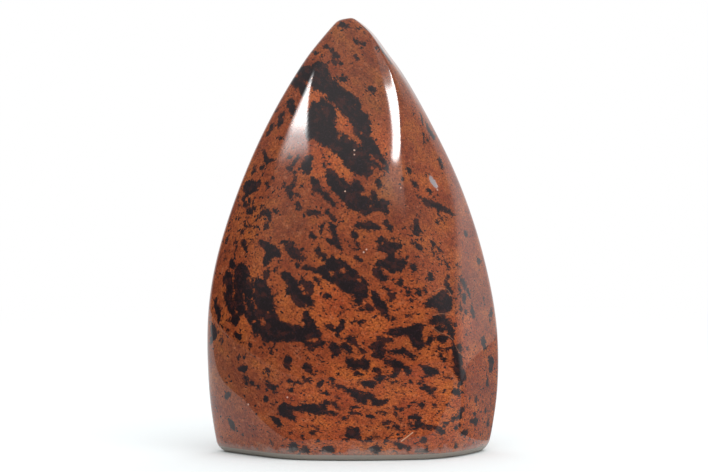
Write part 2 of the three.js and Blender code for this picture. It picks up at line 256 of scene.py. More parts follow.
    [(-5.0, 49.0, 0.8), (-5.6, 47.4, 1.8), (-5.0, 46.4, 1.8), (-2.4, 44.0, 2.4), (0.0, 42.4, 2.1)],
    [(0.0, 42.4, 2.1), (1.5, 40.5, 1.4), (1.3, 38.6, 0.8)],
    [(-8.0, 46.4, 0.9), (-6.8, 45.4, 1.4), (-5.0, 44.2, 1.0)],
    [(-3.8, 48.4, 1.0), (-1.6, 46.6, 1.1), (0.2, 44.6, 1.3)],
    [(0.9, 44.6, 1.0), (2.2, 43.6, 0.9), (2.7, 41.8, 0.8), (3.0, 39.8, 0.7)],
    [(3.6, 37.5, 0.5), (4.4, 36.7, 0.65)],
    [(5.3, 40.6, 0.5), (5.9, 39.0, 1.1), (7.0, 37.4, 1.5), (7.7, 36.2, 1.1)],
    [(0.3, 36.1, 0.35), (2.2, 36.1, 0.35)],
    [(-7.3, 39.7, 0.3), (-6.1, 39.9, 0.35)],
    [(-0.6, 37.5, 0.3)],
    [(-0.6, 38.9, 0.25)],
    [(-3.3, 35.7, 0.4)],
    [(-6.8, 36.5, 0.3)],
    [(13.1, 34.9, 0.3), (14.6, 35.0, 0.35)],
    [(8.3, 34.8, 0.35), (9.3, 34.0, 0.35), (10.8, 34.3, 0.4)],
    [(11.6, 36.5, 0.4)],
    [(1.6, 33.0, 0.5), (2.6, 33.6, 0.35)],
    [(-0.5, 33.1, 0.3)],
    [(-6.3, 32.1, 0.45), (-5.4, 32.0, 0.6)],
    [(-2.7, 33.6, 0.4), (-2.8, 32.2, 0.75), (-4.0, 31.2, 0.6), (-4.3, 30.1, 0.65)],
    [(-1.2, 29.2, 0.75), (-0.4, 28.7, 0.85)],
    [(-2.9, 28.8, 0.4)],
    [(0.3, 28.0, 0.45), (1.2, 27.4, 0.4)],
    [(-5.0, 27.2, 1.1), (-4.3, 25.9, 0.9), (-4.3, 24.7, 0.4)],
    [(-2.9, 27.3, 0.4), (-1.8, 26.8, 0.8), (-1.0, 26.4, 0.5)],
    [(1.6, 26.8, 0.5), (2.4, 26.0, 0.5)],
    [(4.4, 27.6, 0.6), (5.8, 27.4, 1.2), (7.0, 26.7, 1.2), (7.4, 25.9, 0.7)],
    [(6.7, 29.5, 0.35)],
    [(8.4, 28.9, 0.5), (9.8, 28.7, 0.55)],
    # The ring right of the middle, with brown glass inside it.
    [(9.2, 30.6, 0.65), (10.8, 31.0, 0.9), (12.8, 31.0, 0.9), (14.8, 31.2, 1.3), (16.4, 31.4, 1.3)],
    [(16.4, 31.6, 1.2), (17.3, 32.0, 0.6)],
    [(15.8, 30.0, 1.6), (16.2, 28.0, 1.5), (16.4, 26.9, 0.8)],
    [(9.6, 26.0, 0.5), (11.0, 26.0, 0.6), (12.6, 26.0, 0.8), (14.2, 25.0, 0.8), (15.0, 24.4, 0.4)],
    [(5.2, 24.8, 0.25), (7.0, 24.2, 0.35)],
    # The lower third, where the patches lie almost level.
    [(-28.7, 21.5, 0.5), (-27.6, 21.5, 0.8)],
    [(-27.6, 19.3, 0.4), (-27.0, 19.1, 0.65)],
    [(-26.9, 17.9, 0.4)],
    [(-25.5, 17.9, 0.45)],
    [(-24.1, 17.0, 0.4)],
    [(-31.3, 19.7, 0.5)],
    [(-21.9, 21.1, 0.5)],
    [(-16.6, 24.0, 0.6), (-16.9, 22.2, 0.85)],
    [(-15.7, 23.7, 0.35)],
    [(-12.4, 22.2, 0.6), (-11.3, 21.6, 1.0), (-11.0, 20.8, 0.5)],
    [(-22.4, 18.4, 0.5), (-21.2, 17.4, 0.65), (-20.1, 16.5, 0.5), (-20.2, 15.2, 0.3)],
    [(-20.4, 17.3, 0.3), (-19.4, 17.1, 0.3)],
    [(-16.4, 18.5, 0.45), (-15.2, 18.2, 0.3), (-13.8, 17.8, 0.25)],
    [(-16.3, 16.6, 0.3), (-15.6, 16.2, 0.3)],
    [(-12.6, 19.5, 0.4), (-11.9, 18.9, 0.35), (-11.2, 18.5, 0.3)],
    [(-22.2, 13.9, 0.5)],
    [(-20.5, 12.2, 0.4)],
    [(-17.6, 11.8, 0.9), (-17.8, 10.9, 1.3), (-16.4, 9.8, 0.9), (-15.0, 9.1, 0.5)],
    [(-17.0, 11.8, 0.8), (-15.4, 11.5, 0.6), (-13.8, 11.6, 0.8), (-12.6, 11.8, 0.9), (-11.0, 11.4, 1.3)],
    [(-11.0, 11.4, 1.3), (-9.2, 11.0, 1.5), (-7.6, 11.4, 0.9)],
    [(-8.4, 9.9, 0.5), (-6.6, 10.3, 0.35), (-4.4, 10.3, 0.25)],
    [(-7.2, 12.8, 0.5), (-6.6, 12.9, 0.5)],
    [(-20.2, 9.2, 0.55), (-19.4, 8.3, 1.0), (-18.5, 7.4, 0.6)],
    [(-31.2, 8.2, 0.7), (-30.6, 7.0, 0.9), (-30.3, 6.3, 0.5)],
    [(-32.4, 14.2, 0.4), (-31.2, 15.2, 0.3)],
    [(-15.9, 1.4, 0.9), (-15.0, 1.6, 1.1)],
    [(-12.9, 1.0, 0.5), (-12.0, 1.2, 0.7)],
    [(-20.8, 2.7, 0.5)],
    [(-25.6, 4.4, 0.3)],
    [(-12.9, 4.6, 0.25), (-12.8, 3.6, 0.3)],
    [(-1.0, 23.4, 1.2), (0.6, 22.6, 1.1), (3.0, 22.6, 1.1), (3.0, 21.8, 0.8)],
    [(5.9, 21.3, 0.6)],
    [(0.7, 20.4, 0.3), (1.8, 20.2, 0.3)],
    [(8.2, 23.2, 0.6), (9.6, 23.4, 0.7), (11.4, 22.4, 1.2), (11.0, 20.6, 0.8), (10.3, 19.8, 0.5)],
    [(13.4, 21.6, 0.7), (13.9, 20.8, 0.75)],
    [(5.4, 19.4, 0.4), (6.8, 19.1, 0.95), (7.9, 19.3, 0.5)],
    [(8.7, 18.8, 0.4)],
    [(1.8, 18.1, 0.6), (3.0, 17.7, 0.85), (4.6, 17.6, 0.5)],
    [(9.6, 18.4, 0.4), (11.0, 18.1, 0.35), (12.1, 17.9, 0.45)],
    [(-8.2, 18.3, 0.45), (-8.8, 17.4, 0.6), (-8.6, 16.3, 0.3)],
    [(-6.3, 19.4, 0.3), (-5.4, 18.9, 0.4)],
    [(-8.4, 20.6, 0.25), (-6.8, 20.8, 0.25)],
    [(-5.1, 17.4, 0.35), (-3.7, 16.8, 0.45), (-2.0, 16.6, 0.25)],
    [(-2.6, 15.9, 0.25), (-0.8, 15.9, 0.65), (0.6, 15.2, 1.0), (2.0, 14.2, 1.2), (3.6, 14.3, 0.9)],
    [(3.6, 14.3, 0.9), (5.4, 13.9, 0.6)],
    [(4.8, 13.2, 0.35), (6.4, 12.8, 0.5), (7.8, 13.2, 0.5), (8.6, 13.8, 0.3)],
    [(-8.2, 15.8, 0.25), (-5.6, 14.9, 0.25)],
    [(-4.2, 14.6, 0.35), (-3.4, 13.7, 0.35)],
    [(-4.7, 12.8, 0.3), (-4.2, 11.6, 0.4)],
    [(-0.2, 11.5, 0.4)],
    [(0.9, 12.0, 0.25), (2.2, 11.8, 0.3)],
    [(-0.8, 10.1, 0.3), (1.1, 10.2, 0.3)],
    [(6.6, 10.4, 0.35), (8.2, 10.3, 0.35)],
    [(4.0, 9.6, 0.35), (4.8, 9.4, 0.45)],
    [(-3.4, 8.2, 0.25), (-2.2, 8.7, 0.5)],
    [(8.0, 8.1, 0.5), (8.8, 8.1, 0.6)],
    [(8.6, 6.6, 0.3)],
    [(-10.6, 5.2, 0.35), (-9.8, 5.4, 0.5)],
    [(-8.9, 6.5, 0.3)],
    [(-10.4, 8.7, 0.35)],
    [(-9.1, 3.0, 0.4)],
    [(-0.9, 5.9, 0.85), (0.9, 5.9, 0.85)],
    [(-0.9, 4.5, 0.9), (0.9, 4.6, 0.9), (2.2, 3.2, 0.3)],
    [(3.2, 2.9, 0.45), (4.3, 3.9, 0.85), (5.4, 4.4, 0.65), (6.6, 4.1, 0.4)],
    [(4.6, 1.2, 0.9), (5.6, 1.6, 0.8), (5.8, 0.6, 0.6)],
    [(-7.6, 0.9, 0.6), (-6.2, 1.1, 0.7)],
    [(8.3, 3.0, 0.35)],
    [(10.8, 11.0, 0.3), (11.2, 10.0, 0.35)],
    [(12.2, 11.0, 0.4)],
    [(10.9, 9.4, 0.3), (12.0, 8.8, 0.4)],
    [(10.3, 6.7, 0.25), (11.6, 6.3, 0.35), (12.8, 5.4, 0.3)],
    [(10.6, 2.6, 0.3), (12.4, 1.6, 0.45), (14.0, 1.4, 0.5)],
    [(16.2, 0.8, 0.6), (18.2, 0.7, 0.7)],
    [(17.2, 22.0, 0.55), (18.6, 21.8, 0.9), (20.2, 21.2, 0.75), (20.6, 20.6, 0.45)],
    [(18.5, 19.5, 0.35), (19.8, 20.0, 0.4)],
    [(14.1, 18.1, 0.35), (15.0, 17.8, 0.3)],
    [(16.6, 17.9, 0.3), (17.8, 18.3, 0.35)],
    [(17.4, 16.6, 0.5), (18.6, 17.2, 0.5), (19.0, 16.2, 0.5)],
    [(19.1, 15.6, 0.4), (20.0, 14.6, 0.4), (21.0, 14.2, 0.3)],
    [(20.2, 17.6, 0.3), (20.9, 16.3, 0.4)],
    [(22.0, 19.1, 0.35)],
    [(23.2, 19.2, 0.3), (24.2, 19.1, 0.4)],
    [(14.1, 12.4, 0.4), (14.8, 13.0, 0.3)],
    [(16.6, 12.8, 0.35), (17.4, 12.0, 0.5)],
    [(20.3, 12.9, 0.3), (20.7, 12.2, 0.35)],
    [(23.8, 12.6, 0.35)],
    [(25.4, 16.0, 0.4), (26.4, 15.5, 0.5), (26.9, 14.8, 0.4)],
    [(29.6, 14.6, 0.4)],
    [(31.0, 13.9, 0.9)],
    [(27.5, 10.9, 0.8), (27.0, 9.9, 1.0)],
    [(25.2, 11.3, 0.3)],
    [(25.4, 9.0, 0.4)],
    [(14.0, 9.4, 0.35), (15.4, 9.3, 0.5), (16.8, 9.0, 0.35)],
    [(14.2, 7.6, 0.5), (15.0, 6.7, 0.4)],
    [(16.2, 7.4, 0.8), (15.8, 6.6, 0.5)],
    [(17.4, 7.4, 0.35), (18.8, 7.0, 0.5), (20.2, 6.6, 0.55), (21.6, 6.1, 0.5), (22.8, 5.4, 0.3)],
    [(22.4, 7.8, 0.25), (23.6, 7.8, 0.4), (24.4, 8.2, 0.3)],
    [(26.0, 6.5, 0.5), (26.8, 7.1, 0.4)],
    [(27.8, 5.4, 0.9), (28.6, 5.2, 0.7)],
    [(29.8, 8.2, 0.8), (31.2, 8.2, 0.9)],
    [(30.7, 10.1, 0.4)],
    [(33.4, 11.1, 0.5)],
    [(34.0, 7.5, 0.9)],
    [(32.0, 4.8, 0.5)],
    [(17.8, 3.6, 0.5)],
    [(26.2, 2.2, 0.4)],
]

# Red-brown glass that lies inside the black patches, in the same form.
BROWN_ISLANDS = [
    [(-10.2, 91.0, 1.0), (-9.3, 89.8, 1.1)],
    [(-7.5, 90.8, 0.5)],
    [(-4.3, 85.3, 0.5), (-3.4, 84.9, 0.7), (-1.6, 83.8, 0.9), (-0.9, 82.6, 1.0), (-0.7, 81.5, 0.5)],
    [(-3.3, 81.1, 0.4), (-3.5, 80.1, 0.4)],
    [(0.7, 80.4, 0.35), (1.2, 78.6, 0.75)],
    [(1.9, 81.1, 0.4)],
    [(-7.6, 87.7, 0.35)],
    [(-4.3, 75.6, 0.35)],
    [(2.2, 87.3, 0.4), (3.0, 86.6, 0.4)],
    [(0.3, 88.2, 0.35)],
    [(4.5, 75.8, 0.35)],
    [(4.8, 74.8, 0.4), (6.0, 74.3, 0.35), (7.6, 72.9, 0.4)],
    [(4.6, 72.5, 0.35)],
    [(2.4, 65.9, 0.35), (3.6, 65.4, 0.4)],
    [(4.6, 62.4, 0.3)],
    [(-32.5, 43.5, 0.35), (-32.5, 41.3, 0.5)],
    [(-29.8, 41.3, 0.45)],
    [(-30.2, 39.0, 0.35)],
    [(-27.9, 40.3, 0.3), (-27.8, 38.4, 0.45), (-27.2, 37.0, 0.35)],
    [(-25.6, 39.4, 0.35), (-24.9, 37.9, 0.4), (-24.5, 36.5, 0.4)],
    [(-21.5, 35.6, 0.25)],
    [(-23.1, 34.0, 0.7), (-22.7, 32.7, 0.8)],
    [(-25.3, 33.5, 0.5)],
    [(-26.4, 44.6, 0.45), (-25.5, 43.4, 0.5)],
    [(-15.2, 30.5, 0.4)],
    [(-13.1, 32.8, 0.5)],
    [(-12.2, 40.7, 0.7)],
    [(-12.2, 37.6, 0.5)],
    [(-2.9, 46.5, 1.0)],
    [(-5.6, 45.4, 0.35)],
    [(1.7, 44.0, 0.35)],
    [(2.2, 41.2, 0.35)],
    [(12.6, 28.5, 0.9), (13.6, 28.0, 0.7)],
    [(21.4, 32.8, 0.55), (22.0, 32.4, 0.4)],
    [(8.0, 53.6, 0.4), (9.2, 54.0, 0.4)],
    [(-14.0, 10.2, 0.3), (-11.6, 10.1, 0.25)],
    [(9.4, 21.4, 0.35)],
]

# The back of the stone, which the photograph doesn't show, has patches of the same kind. These dabs are
# places on the picture plane too, but they lie where a straight line from behind meets the stone.
BACK_PATCHES = [
    [(-3.0, 104.0, 0.6), (-1.0, 102.0, 1.1), (1.5, 99.5, 0.7)],
    [(5.0, 96.0, 0.6), (7.0, 93.0, 1.2), (8.5, 90.0, 0.6)],
    [(-14.0, 93.0, 1.6), (-11.0, 89.5, 2.6), (-7.0, 86.0, 3.0), (-2.5, 82.5, 2.7), (1.5, 79.0, 3.2),
     (5.5, 75.5, 2.4), (9.0, 73.0, 1.3)],
    [(-8.0, 82.0, 1.8), (-6.0, 78.5, 2.2), (-2.0, 75.5, 1.5)],
    [(3.0, 84.0, 1.0), (6.0, 81.5, 1.2)],
    [(-12.0, 84.5, 0.8)],
    [(12.5, 77.0, 0.9), (14.0, 73.5, 1.2)],
    [(10.0, 68.5, 0.7)],
    [(-20.0, 70.0, 0.9), (-18.4, 68.2, 0.6)],
    [(-20.0, 64.0, 1.3), (-17.0, 61.5, 2.0), (-13.0, 60.0, 1.0)],
    [(12.0, 60.0, 1.2), (15.0, 57.0, 2.4), (19.0, 53.5, 3.2), (22.5, 49.0, 2.6), (25.5, 45.5, 1.4)],
    [(15.5, 51.0, 1.8), (12.0, 48.0, 1.3)],
    [(-3.0, 58.0, 0.9), (0.0, 56.0, 1.9), (4.0, 54.0, 1.3)],
    [(-24.0, 55.0, 0.8), (-26.0, 52.5, 1.3)],
    [(2.0, 44.0, 1.6), (6.0, 42.0, 2.2), (9.5, 40.5, 1.0)],
    [(-9.0, 46.0, 1.0), (-6.5, 44.5, 0.7)],
    [(-31.0, 44.0, 1.2), (-28.0, 40.5, 2.4), (-24.0, 37.5, 3.4), (-18.5, 34.5, 3.0), (-13.0, 32.5, 3.4),
     (-7.5, 31.0, 2.4), (-3.0, 30.5, 1.1)],
    [(-21.0, 31.0, 2.0), (-17.0, 28.0, 1.5), (-12.0, 26.5, 0.9)],
    [(22.0, 36.0, 1.0), (26.0, 34.5, 1.7), (30.0, 33.5, 0.8)],
    [(8.0, 24.0, 1.4), (12.5, 22.0, 2.8), (18.5, 19.8, 2.3), (24.0, 18.8, 3.0), (29.5, 17.5, 1.8)],
    [(-30.0, 26.0, 0.9), (-27.0, 24.0, 1.5), (-23.0, 23.0, 0.7)],
    [(-10.0, 18.0, 1.8), (-5.0, 16.6, 2.3), (0.0, 15.8, 1.0)],
    [(-22.0, 11.0, 1.2), (-18.0, 10.0, 0.7)],
    [(6.0, 9.0, 0.8), (10.0, 8.0, 1.7), (15.0, 7.4, 0.9)],
    [(28.0, 9.0, 1.0), (31.0, 7.5, 0.6)],
    [(-4.0, 6.0, 0.6)],
]

# Small dabs are scattered over the sides and the back, and the seed fixes their places. They are short
# streaks, whose slope, in degrees, grows from the foot to the crown.
SCATTERED_DABS = 190
SCATTER_SEED = 41
DAB_RADII = (0.3, 0.4, 0.5, 0.6, 0.9)
LONGEST_STREAK = 3.4 * MM
STREAK_SLOPE_AT_FOOT = 18
STREAK_SLOPE_GAINED = 34
STREAK_SLOPE_FULL_AT = 100 * MM
STREAK_SLOPE_SPREAD = 12

# Where the fine black specks crowd, and where the glass is nearly free of them: (across, up, reach,
# crowding). Between the zones the value for elsewhere holds, with the weight that WEIGHT_ELSEWHERE gives it.
SPECK_ZONES = [
    (-28, 58, 6, 1.0), (-16, 73, 4, 0.8), (-24, 70, 4, 0.5), (-10, 47, 5, 0.9), (-16, 59, 4, 0.0),
    (-25, 61, 4, 1.0), (-6, 100, 5, 0.6), (4, 98, 6, 0.0), (6, 88, 5, 0.0), (13, 78, 6, 0.15),
    (18, 72, 4, 0.3), (2, 109, 3, 0.6), (-21, 78, 4, 0.2), (-20, 53, 5, 0.6), (2, 50, 5, 0.6),
    (13, 62, 5, 0.5), (12, 50, 6, 1.0), (22, 55, 5, 0.6), (18, 45, 6, 0.8), (30, 50, 8, 0.2),
    (32, 62, 8, 0.1), (-4, 37, 6, 0.45), (12, 38, 6, 0.8), (0, 30, 5, 0.9), (-22, 24, 6, 0.6),
    (-33, 24, 5, 0.1), (-6, 20, 7, 0.8), (6, 18, 7, 0.8), (18, 14, 7, 0.6), (-24, 10, 7, 0.5),
    (-10, 6, 6, 0.8), (8, 6, 7, 0.75), (24, 10, 6, 0.8), (31, 10, 6, 1.0), (33, 30, 4, 0.5),
    (29, 40, 4, 1.0), (35, 20, 4, 1.0), (28, 33, 3, 0.9), (34, 25, 3, 1.0), (22, 24, 5, 0.5),
]
SPECKS_ELSEWHERE = 0.65
WEIGHT_ELSEWHERE = 0.15

# Where the brown glass is brighter rust than elsewhere (up to 1), and where it is duller (down to -1):
# (across, up, reach, rust).
RUST_ZONES = [
    (-6, 73, 4, 0.9), (-8, 75, 2.5, 1.0), (7, 79, 3, 0.8), (-10, 90.5, 2, 1.0), (-2, 84, 2.5, 0.9),
    (-24, 46, 4, 0.4), (-19, 40, 4, 0.35), (-27, 32, 3, 0.5), (-16, 59, 5, -0.4), (-26, 53, 5, -0.2),
    (-3, 54, 5, 0.2), (-18, 68, 4, -0.1), (7, 93, 6, -0.5), (0, 104, 5, -0.4), (9, 66, 4, -0.5),
    (15, 80, 5, -0.1), (18, 71, 4, 0.4), (18, 66, 2.5, 0.9), (23, 56, 4, 0.3), (15, 62, 4, -0.2),
    (23, 48, 5, 0.4), (-5, 37, 6, 0.8), (12, 38, 5, 0.7), (5, 33, 5, 0.7), (22, 26, 5, 0.6),
    (27, 32, 3, 0.8), (32, 24, 4, 0.6), (-9, 23, 4, 0.6), (-24, 20, 6, -0.1), (-30, 18, 5, -0.5),
    (-2, 14, 5, 0.9), (-13, 16, 5, 0.7), (6, 20, 5, 0.7), (10, 13, 6, 0.7), (-6, 7, 6, 0.9),
    (18, 16, 5, 1.0), (24, 8, 6, 1.0), (-21, 60, 4, -0.2), (-20, 76, 4, 0.0), (-12, 5, 4, 0.6),
    (14, 5, 5, 0.8), (-22, 80, 3, 0.3), (-30, 56, 5, 0.3), (-31, 26, 5, -0.5), (-14, 25, 5, 0.1),
    (30, 42, 4, -0.2), (5, 9, 5, 0.6),
]
RUST_ELSEWHERE = 0.15

# Small marks, on the picture plane too: a chip off the right flank, as a chain of dabs; tiny pits whose
# glints are painted in as pale dots, painted highlights, (across, up, radius); and a scratch near the foot
# and fine healed cracks, each a chain of (across, up).
CHIP = [(19.7, 69.7, 0.75), (20.4, 68.7, 0.9), (21.1, 67.7, 0.65)]
CHIP_DEPTH = 0.3 * MM
CHIP_REACH = 1.9 * MM
CHIP_FLOOR_WITHIN = -0.35
PAINTED_GLINTS = [
    (21.25, 66.8, 0.24), (2.6, 51.0, 0.22), (3.3, 51.7, 0.2), (0.24, 76.8, 0.22), (0.24, 75.7, 0.18),
    (-2.1, 66.4, 0.2), (-26.6, 12.5, 0.22), (-16.7, 14.3, 0.2), (-10.5, 95.0, 0.22), (12.0, 67.3, 0.17),
    (-15.6, 83.2, 0.2),
]
SCRATCHES = [[(12.1, 3.2), (13.6, 4.3), (15.0, 5.4)]]
HEALED_CRACKS = [
    [(20.6, 41.2), (22.4, 42.0), (23.9, 41.5), (24.9, 39.9)],
    [(20.2, 35.1), (22.2, 35.5), (24.4, 35.2)],
    [(20.0, 32.0), (21.9, 30.6), (23.6, 30.2), (25.2, 28.9)],
    [(25.9, 27.2), (26.7, 25.6), (28.0, 24.6)],
]


def to_linear(colour):
    """Turns an sRGB hex colour into the linear values that a shader takes."""
    parts = [int(colour[i:i + 2], 16) / 255 for i in (1, 3, 5)]
    return [p / 12.92 if p <= 0.04045 else ((p + 0.055) / 1.055) ** 2.4 for p in parts] + [1.0]


def add_node(tree, kind, settings=None, inputs=None):
    """Adds one node with its settings; an input is a plain value, or a node's output, which is linked."""
    node = tree.nodes.new(kind)
    for name, value in (settings or {}).items():
        setattr(node, name, value)
    for name, value in (inputs or {}).items():
        if isinstance(value, bpy.types.NodeSocket):
            tree.links.new(value, node.inputs[name])
        else:
            node.inputs[name].default_value = value
    return node


def new_material(name):
    material = bpy.data.materials.new(name)
    material.use_nodes = True
    return material


def deselect_all():
    bpy.ops.object.select_all(action="DESELECT")


def set_attribute(piece, name, values):
    """Stores one value for each vertex of a piece."""
    attribute = piece.data.attributes.new(name, "FLOAT", "POINT")
    attribute.data.foreach_set("value", values.astype(np.float32))


# The picture plane

VIEW_FORWARD = Vector((0, math.cos(CAMERA_ELEVATION), -math.sin(CAMERA_ELEVATION)))
VIEW_UP = Vector((0, math.sin(CAMERA_ELEVATION), math.cos(CAMERA_ELEVATION)))
VIEW_RIGHT = Vector((1, 0, 0))
CAMERA_PLACE = CAMERA_TARGET - VIEW_FORWARD * CAMERA_DISTANCE


def picture_point(across, up):
    """The point in space of a place on the picture plane, given in millimetres."""
    right_of_target = across * MM - CAMERA_TARGET.x
    above_target = up * MM - CAMERA_TARGET.z
    return CAMERA_TARGET + VIEW_RIGHT * right_of_target + VIEW_UP * above_target


def surface_point(skin, across, up, from_behind=False):
    """Where the camera's line, or a straight one from behind, meets the stone at a place on the picture."""
    point = picture_point(across, up)
    if from_behind:
        start = point + VIEW_FORWARD * CAMERA_DISTANCE
        direction = -VIEW_FORWARD
    else:
        start = CAMERA_PLACE
        direction = (point - CAMERA_PLACE).normalized()
    hit = skin.ray_cast(start, direction)[0]
    if hit is None:
        hit = skin.find_nearest(point)[0]
    return hit


def picture_places(points):
    """The places on the picture plane, in millimetres, at which the camera sees these points."""
    offset = points - np.array(CAMERA_PLACE)
    depth = offset @ np.array(VIEW_FORWARD)
    across = CAMERA_DISTANCE * (offset @ np.array(VIEW_RIGHT)) / depth + CAMERA_TARGET.x
    up = CAMERA_DISTANCE * (offset @ np.array(VIEW_UP)) / depth + CAMERA_TARGET.z
    return across / MM, up / MM


# The camera and the studio


def make_camera():
    bpy.ops.object.camera_add(location=CAMERA_PLACE, rotation=(math.pi / 2 - CAMERA_ELEVATION, 0, 0))
    camera = bpy.context.object
    camera.name = "camera"
    camera.data.sensor_width = SENSOR_WIDTH
    camera.data.lens = SENSOR_WIDTH * CAMERA_DISTANCE / PICTURE_WIDTH
    bpy.context.scene.camera = camera


# The studio as the polish mirrors it. An azimuth is measured from the camera's side, to the right as the
# camera sees it, and angles are in degrees. Each softbox is a glowing sheet far off that only the polish
# mirrors. It is made of soft-edged windows: azimuth from and to, height from and to, how far each upright
# edge leans for a degree of height, how soft the four edges are (first, second, lower and upper), and the
# strength.
SOFTBOXES = {
    "right_softbox": [
        {
            "azimuth": (31.3, 62), "height": (25.6, 36.9), "lean": (1.9, 1.9),
            "edges": (2, 8, 1.4, 1.0), "strength": 26,
        },
        {
            "azimuth": (29, 64), "height": (20, 40), "lean": (1.9, 1.9),
            "edges": (6, 12, 6, 12), "strength": 1.3,
        },
    ],
    "left_softbox": [
        {
            "azimuth": (-71, -44), "height": (29, 36.6), "lean": (0, -2.25),
            "edges": (7, 2, 3, 1.5), "strength": 22,
        },
        {
            "azimuth": (-70, -44), "height": (25.8, 36.8), "lean": (0, -2.25),
            "edges": (9, 3, 4, 1.5), "strength": 9,
        },
        {
            "azimuth": (-68, -42), "height": (24, 44), "lean": (0, -2.25),
            "edges": (6, 6, 6, 12), "strength": 0.7,
        },
    ],
}
LEAN_FROM = 25  # the height at which a leaning edge stands at its azimuth
SOFTBOX_DISTANCE = 5.0
SOFTBOX_STEP = 0.8
SOFTBOX_AZIMUTHS = (-110, 110)
SOFTBOX_HEIGHTS = (14, 60)


def soft_step(values, limit, soft):
    """0 below a limit and 1 above it, with a soft change of this width between them."""
    share = np.clip((values - limit) / soft + 0.5, 0, 1)
    return share * share * (3 - 2 * share)


def window_share(azimuth, height, window):
    """How much of a softbox's window each direction holds, from 0 to 1."""
    first_soft, second_soft, lower_soft, upper_soft = window["edges"]
    first, second = (azimuth - lean * (height - LEAN_FROM) for lean in window["lean"])
    share = soft_step(first, window["azimuth"][0], first_soft)
    share = share * (1 - soft_step(second, window["azimuth"][1], second_soft))
    share = share * soft_step(height, window["height"][0], lower_soft)
    return share * (1 - soft_step(height, window["height"][1], upper_soft))


def mirrored_sheet(name, points, faces, material):
    """A sheet that the camera doesn't see, and that only the polish mirrors."""
    mesh = bpy.data.meshes.new(name)
    mesh.from_pydata(points, [], faces)
    mesh.materials.append(material)
    sheet = bpy.data.objects.new(name, mesh)
    bpy.context.scene.collection.objects.link(sheet)
    sheet.visible_camera = False
    sheet.visible_diffuse = False
    sheet.visible_shadow = False
    return sheet


def glowing_cloth(name):
    """The softbox's front cloth: it adds its glow to the room behind it."""
    material = new_material(name)
    tree = material.node_tree
    tree.nodes.clear()
    glow_here = add_node(tree, "ShaderNodeAttribute", {"attribute_name": "glow"}).outputs["Fac"]
    light = add_node(tree, "ShaderNodeEmission", None, {"Strength": glow_here}).outputs[0]
    room_behind = add_node(tree, "ShaderNodeBsdfTransparent").outputs[0]
    both = add_node(tree, "ShaderNodeAddShader", None, {0: light, 1: room_behind}).outputs[0]
    add_node(tree, "ShaderNodeOutputMaterial", None, {"Surface": both})
    return material


def make_softbox(name, windows):
    azimuths = np.arange(*SOFTBOX_AZIMUTHS, SOFTBOX_STEP)
    heights = np.arange(*SOFTBOX_HEIGHTS, SOFTBOX_STEP)
    azimuth, height = (grid.ravel() for grid in np.meshgrid(azimuths, heights))
    glow = sum(window["strength"] * window_share(azimuth, height, window) for window in windows)
    turn = np.radians(azimuth)
    rise = np.radians(height)
    places = np.stack([np.sin(turn) * np.cos(rise), -np.cos(turn) * np.cos(rise), np.sin(rise)], axis=1)
    across = len(azimuths)
    faces = []
    for row in range(len(heights) - 1):
        for column in range(across - 1):
            corner = row * across + column
            face = (corner, corner + across, corner + across + 1, corner + 1)
            if max(glow[i] for i in face) > 0:
                faces.append(face)
    points = (places * SOFTBOX_DISTANCE).tolist()
    softbox = mirrored_sheet(name, points, faces, glowing_cloth(name + "_cloth"))
    set_attribute(softbox, "glow", glow)


# How bright the room is, as points of (height, level). It is dim in front, where the camera stands, and most
# so at the front left. Low down at the sides it is bright, and so is the upper room past the right side,
# which the stone's right edge mirrors. Each part starts at an azimuth, with a soft change of some degrees.
# Behind the stone the room has one level at every height.
FRONT_LEVELS = [(-10, 0.25), (3, 0.25), (9, 0.38), (17, 0.6), (28, 1.0), (44, 0.85), (60, 1.5)]
SIDE_LEVELS = [(-10, 0.3), (-2, 0.6), (3, 1.05), (10, 0.98), (17, 0.4), (44, 0.7), (60, 1.5)]
LEFT_LEVELS = [(-10, 0.12), (3, 0.12), (9, 0.15), (17, 0.22), (28, 0.5), (44, 0.7), (60, 1.5)]
EDGE_LEVELS = [(-10, 0.3), (-2, 0.6), (3, 1.05), (10, 0.98), (15, 1.3), (20, 2.4), (60, 2.4)]
LEFT_FROM = 66
LEFT_SOFT = 24
LEFT_SIDE_FROM = 138
RIGHT_SIDE_FROM = 86
SIDE_SOFT = 22
RIGHT_EDGE_FROM = 117
RIGHT_EDGE_SOFT = 10
ROOM_BEHIND = 1.15
BEHIND_FROM = 136
BEHIND_SOFT = 24


def level_by_height(tree, height, levels):
    """The room's brightness as a smooth curve along points of (height, level)."""
    lowest = levels[0][0]
    highest = levels[-1][0]
    along = add_node(
        tree, "ShaderNodeMapRange", None, {"Value": height, "From Min": lowest, "From Max": highest},
    ).outputs[0]
    curve = add_node(tree, "ShaderNodeValToRGB", None, {"Fac": along})
    ramp = curve.color_ramp
    ramp.interpolation = "B_SPLINE"
    while len(ramp.elements) < len(levels):
        ramp.elements.new(0.5)
    for element, (at, level) in zip(ramp.elements, levels):
        element.position = (at - lowest) / (highest - lowest)
        element.color = (level, level, level, 1)
    return curve.outputs["Color"]


def blend_beyond(tree, angle, limit, soft, below, beyond):
    """One brightness below an angle and another beyond it, with a soft change between them."""
    share = add_node(
        tree, "ShaderNodeMapRange", {"interpolation_type": "SMOOTHSTEP"},
        {"Value": angle, "From Min": limit - soft / 2, "From Max": limit + soft / 2},
    ).outputs[0]
    return add_node(
        tree, "ShaderNodeMix", {"data_type": "FLOAT"}, {"Factor": share, "A": below, "B": beyond},
    ).outputs[0]


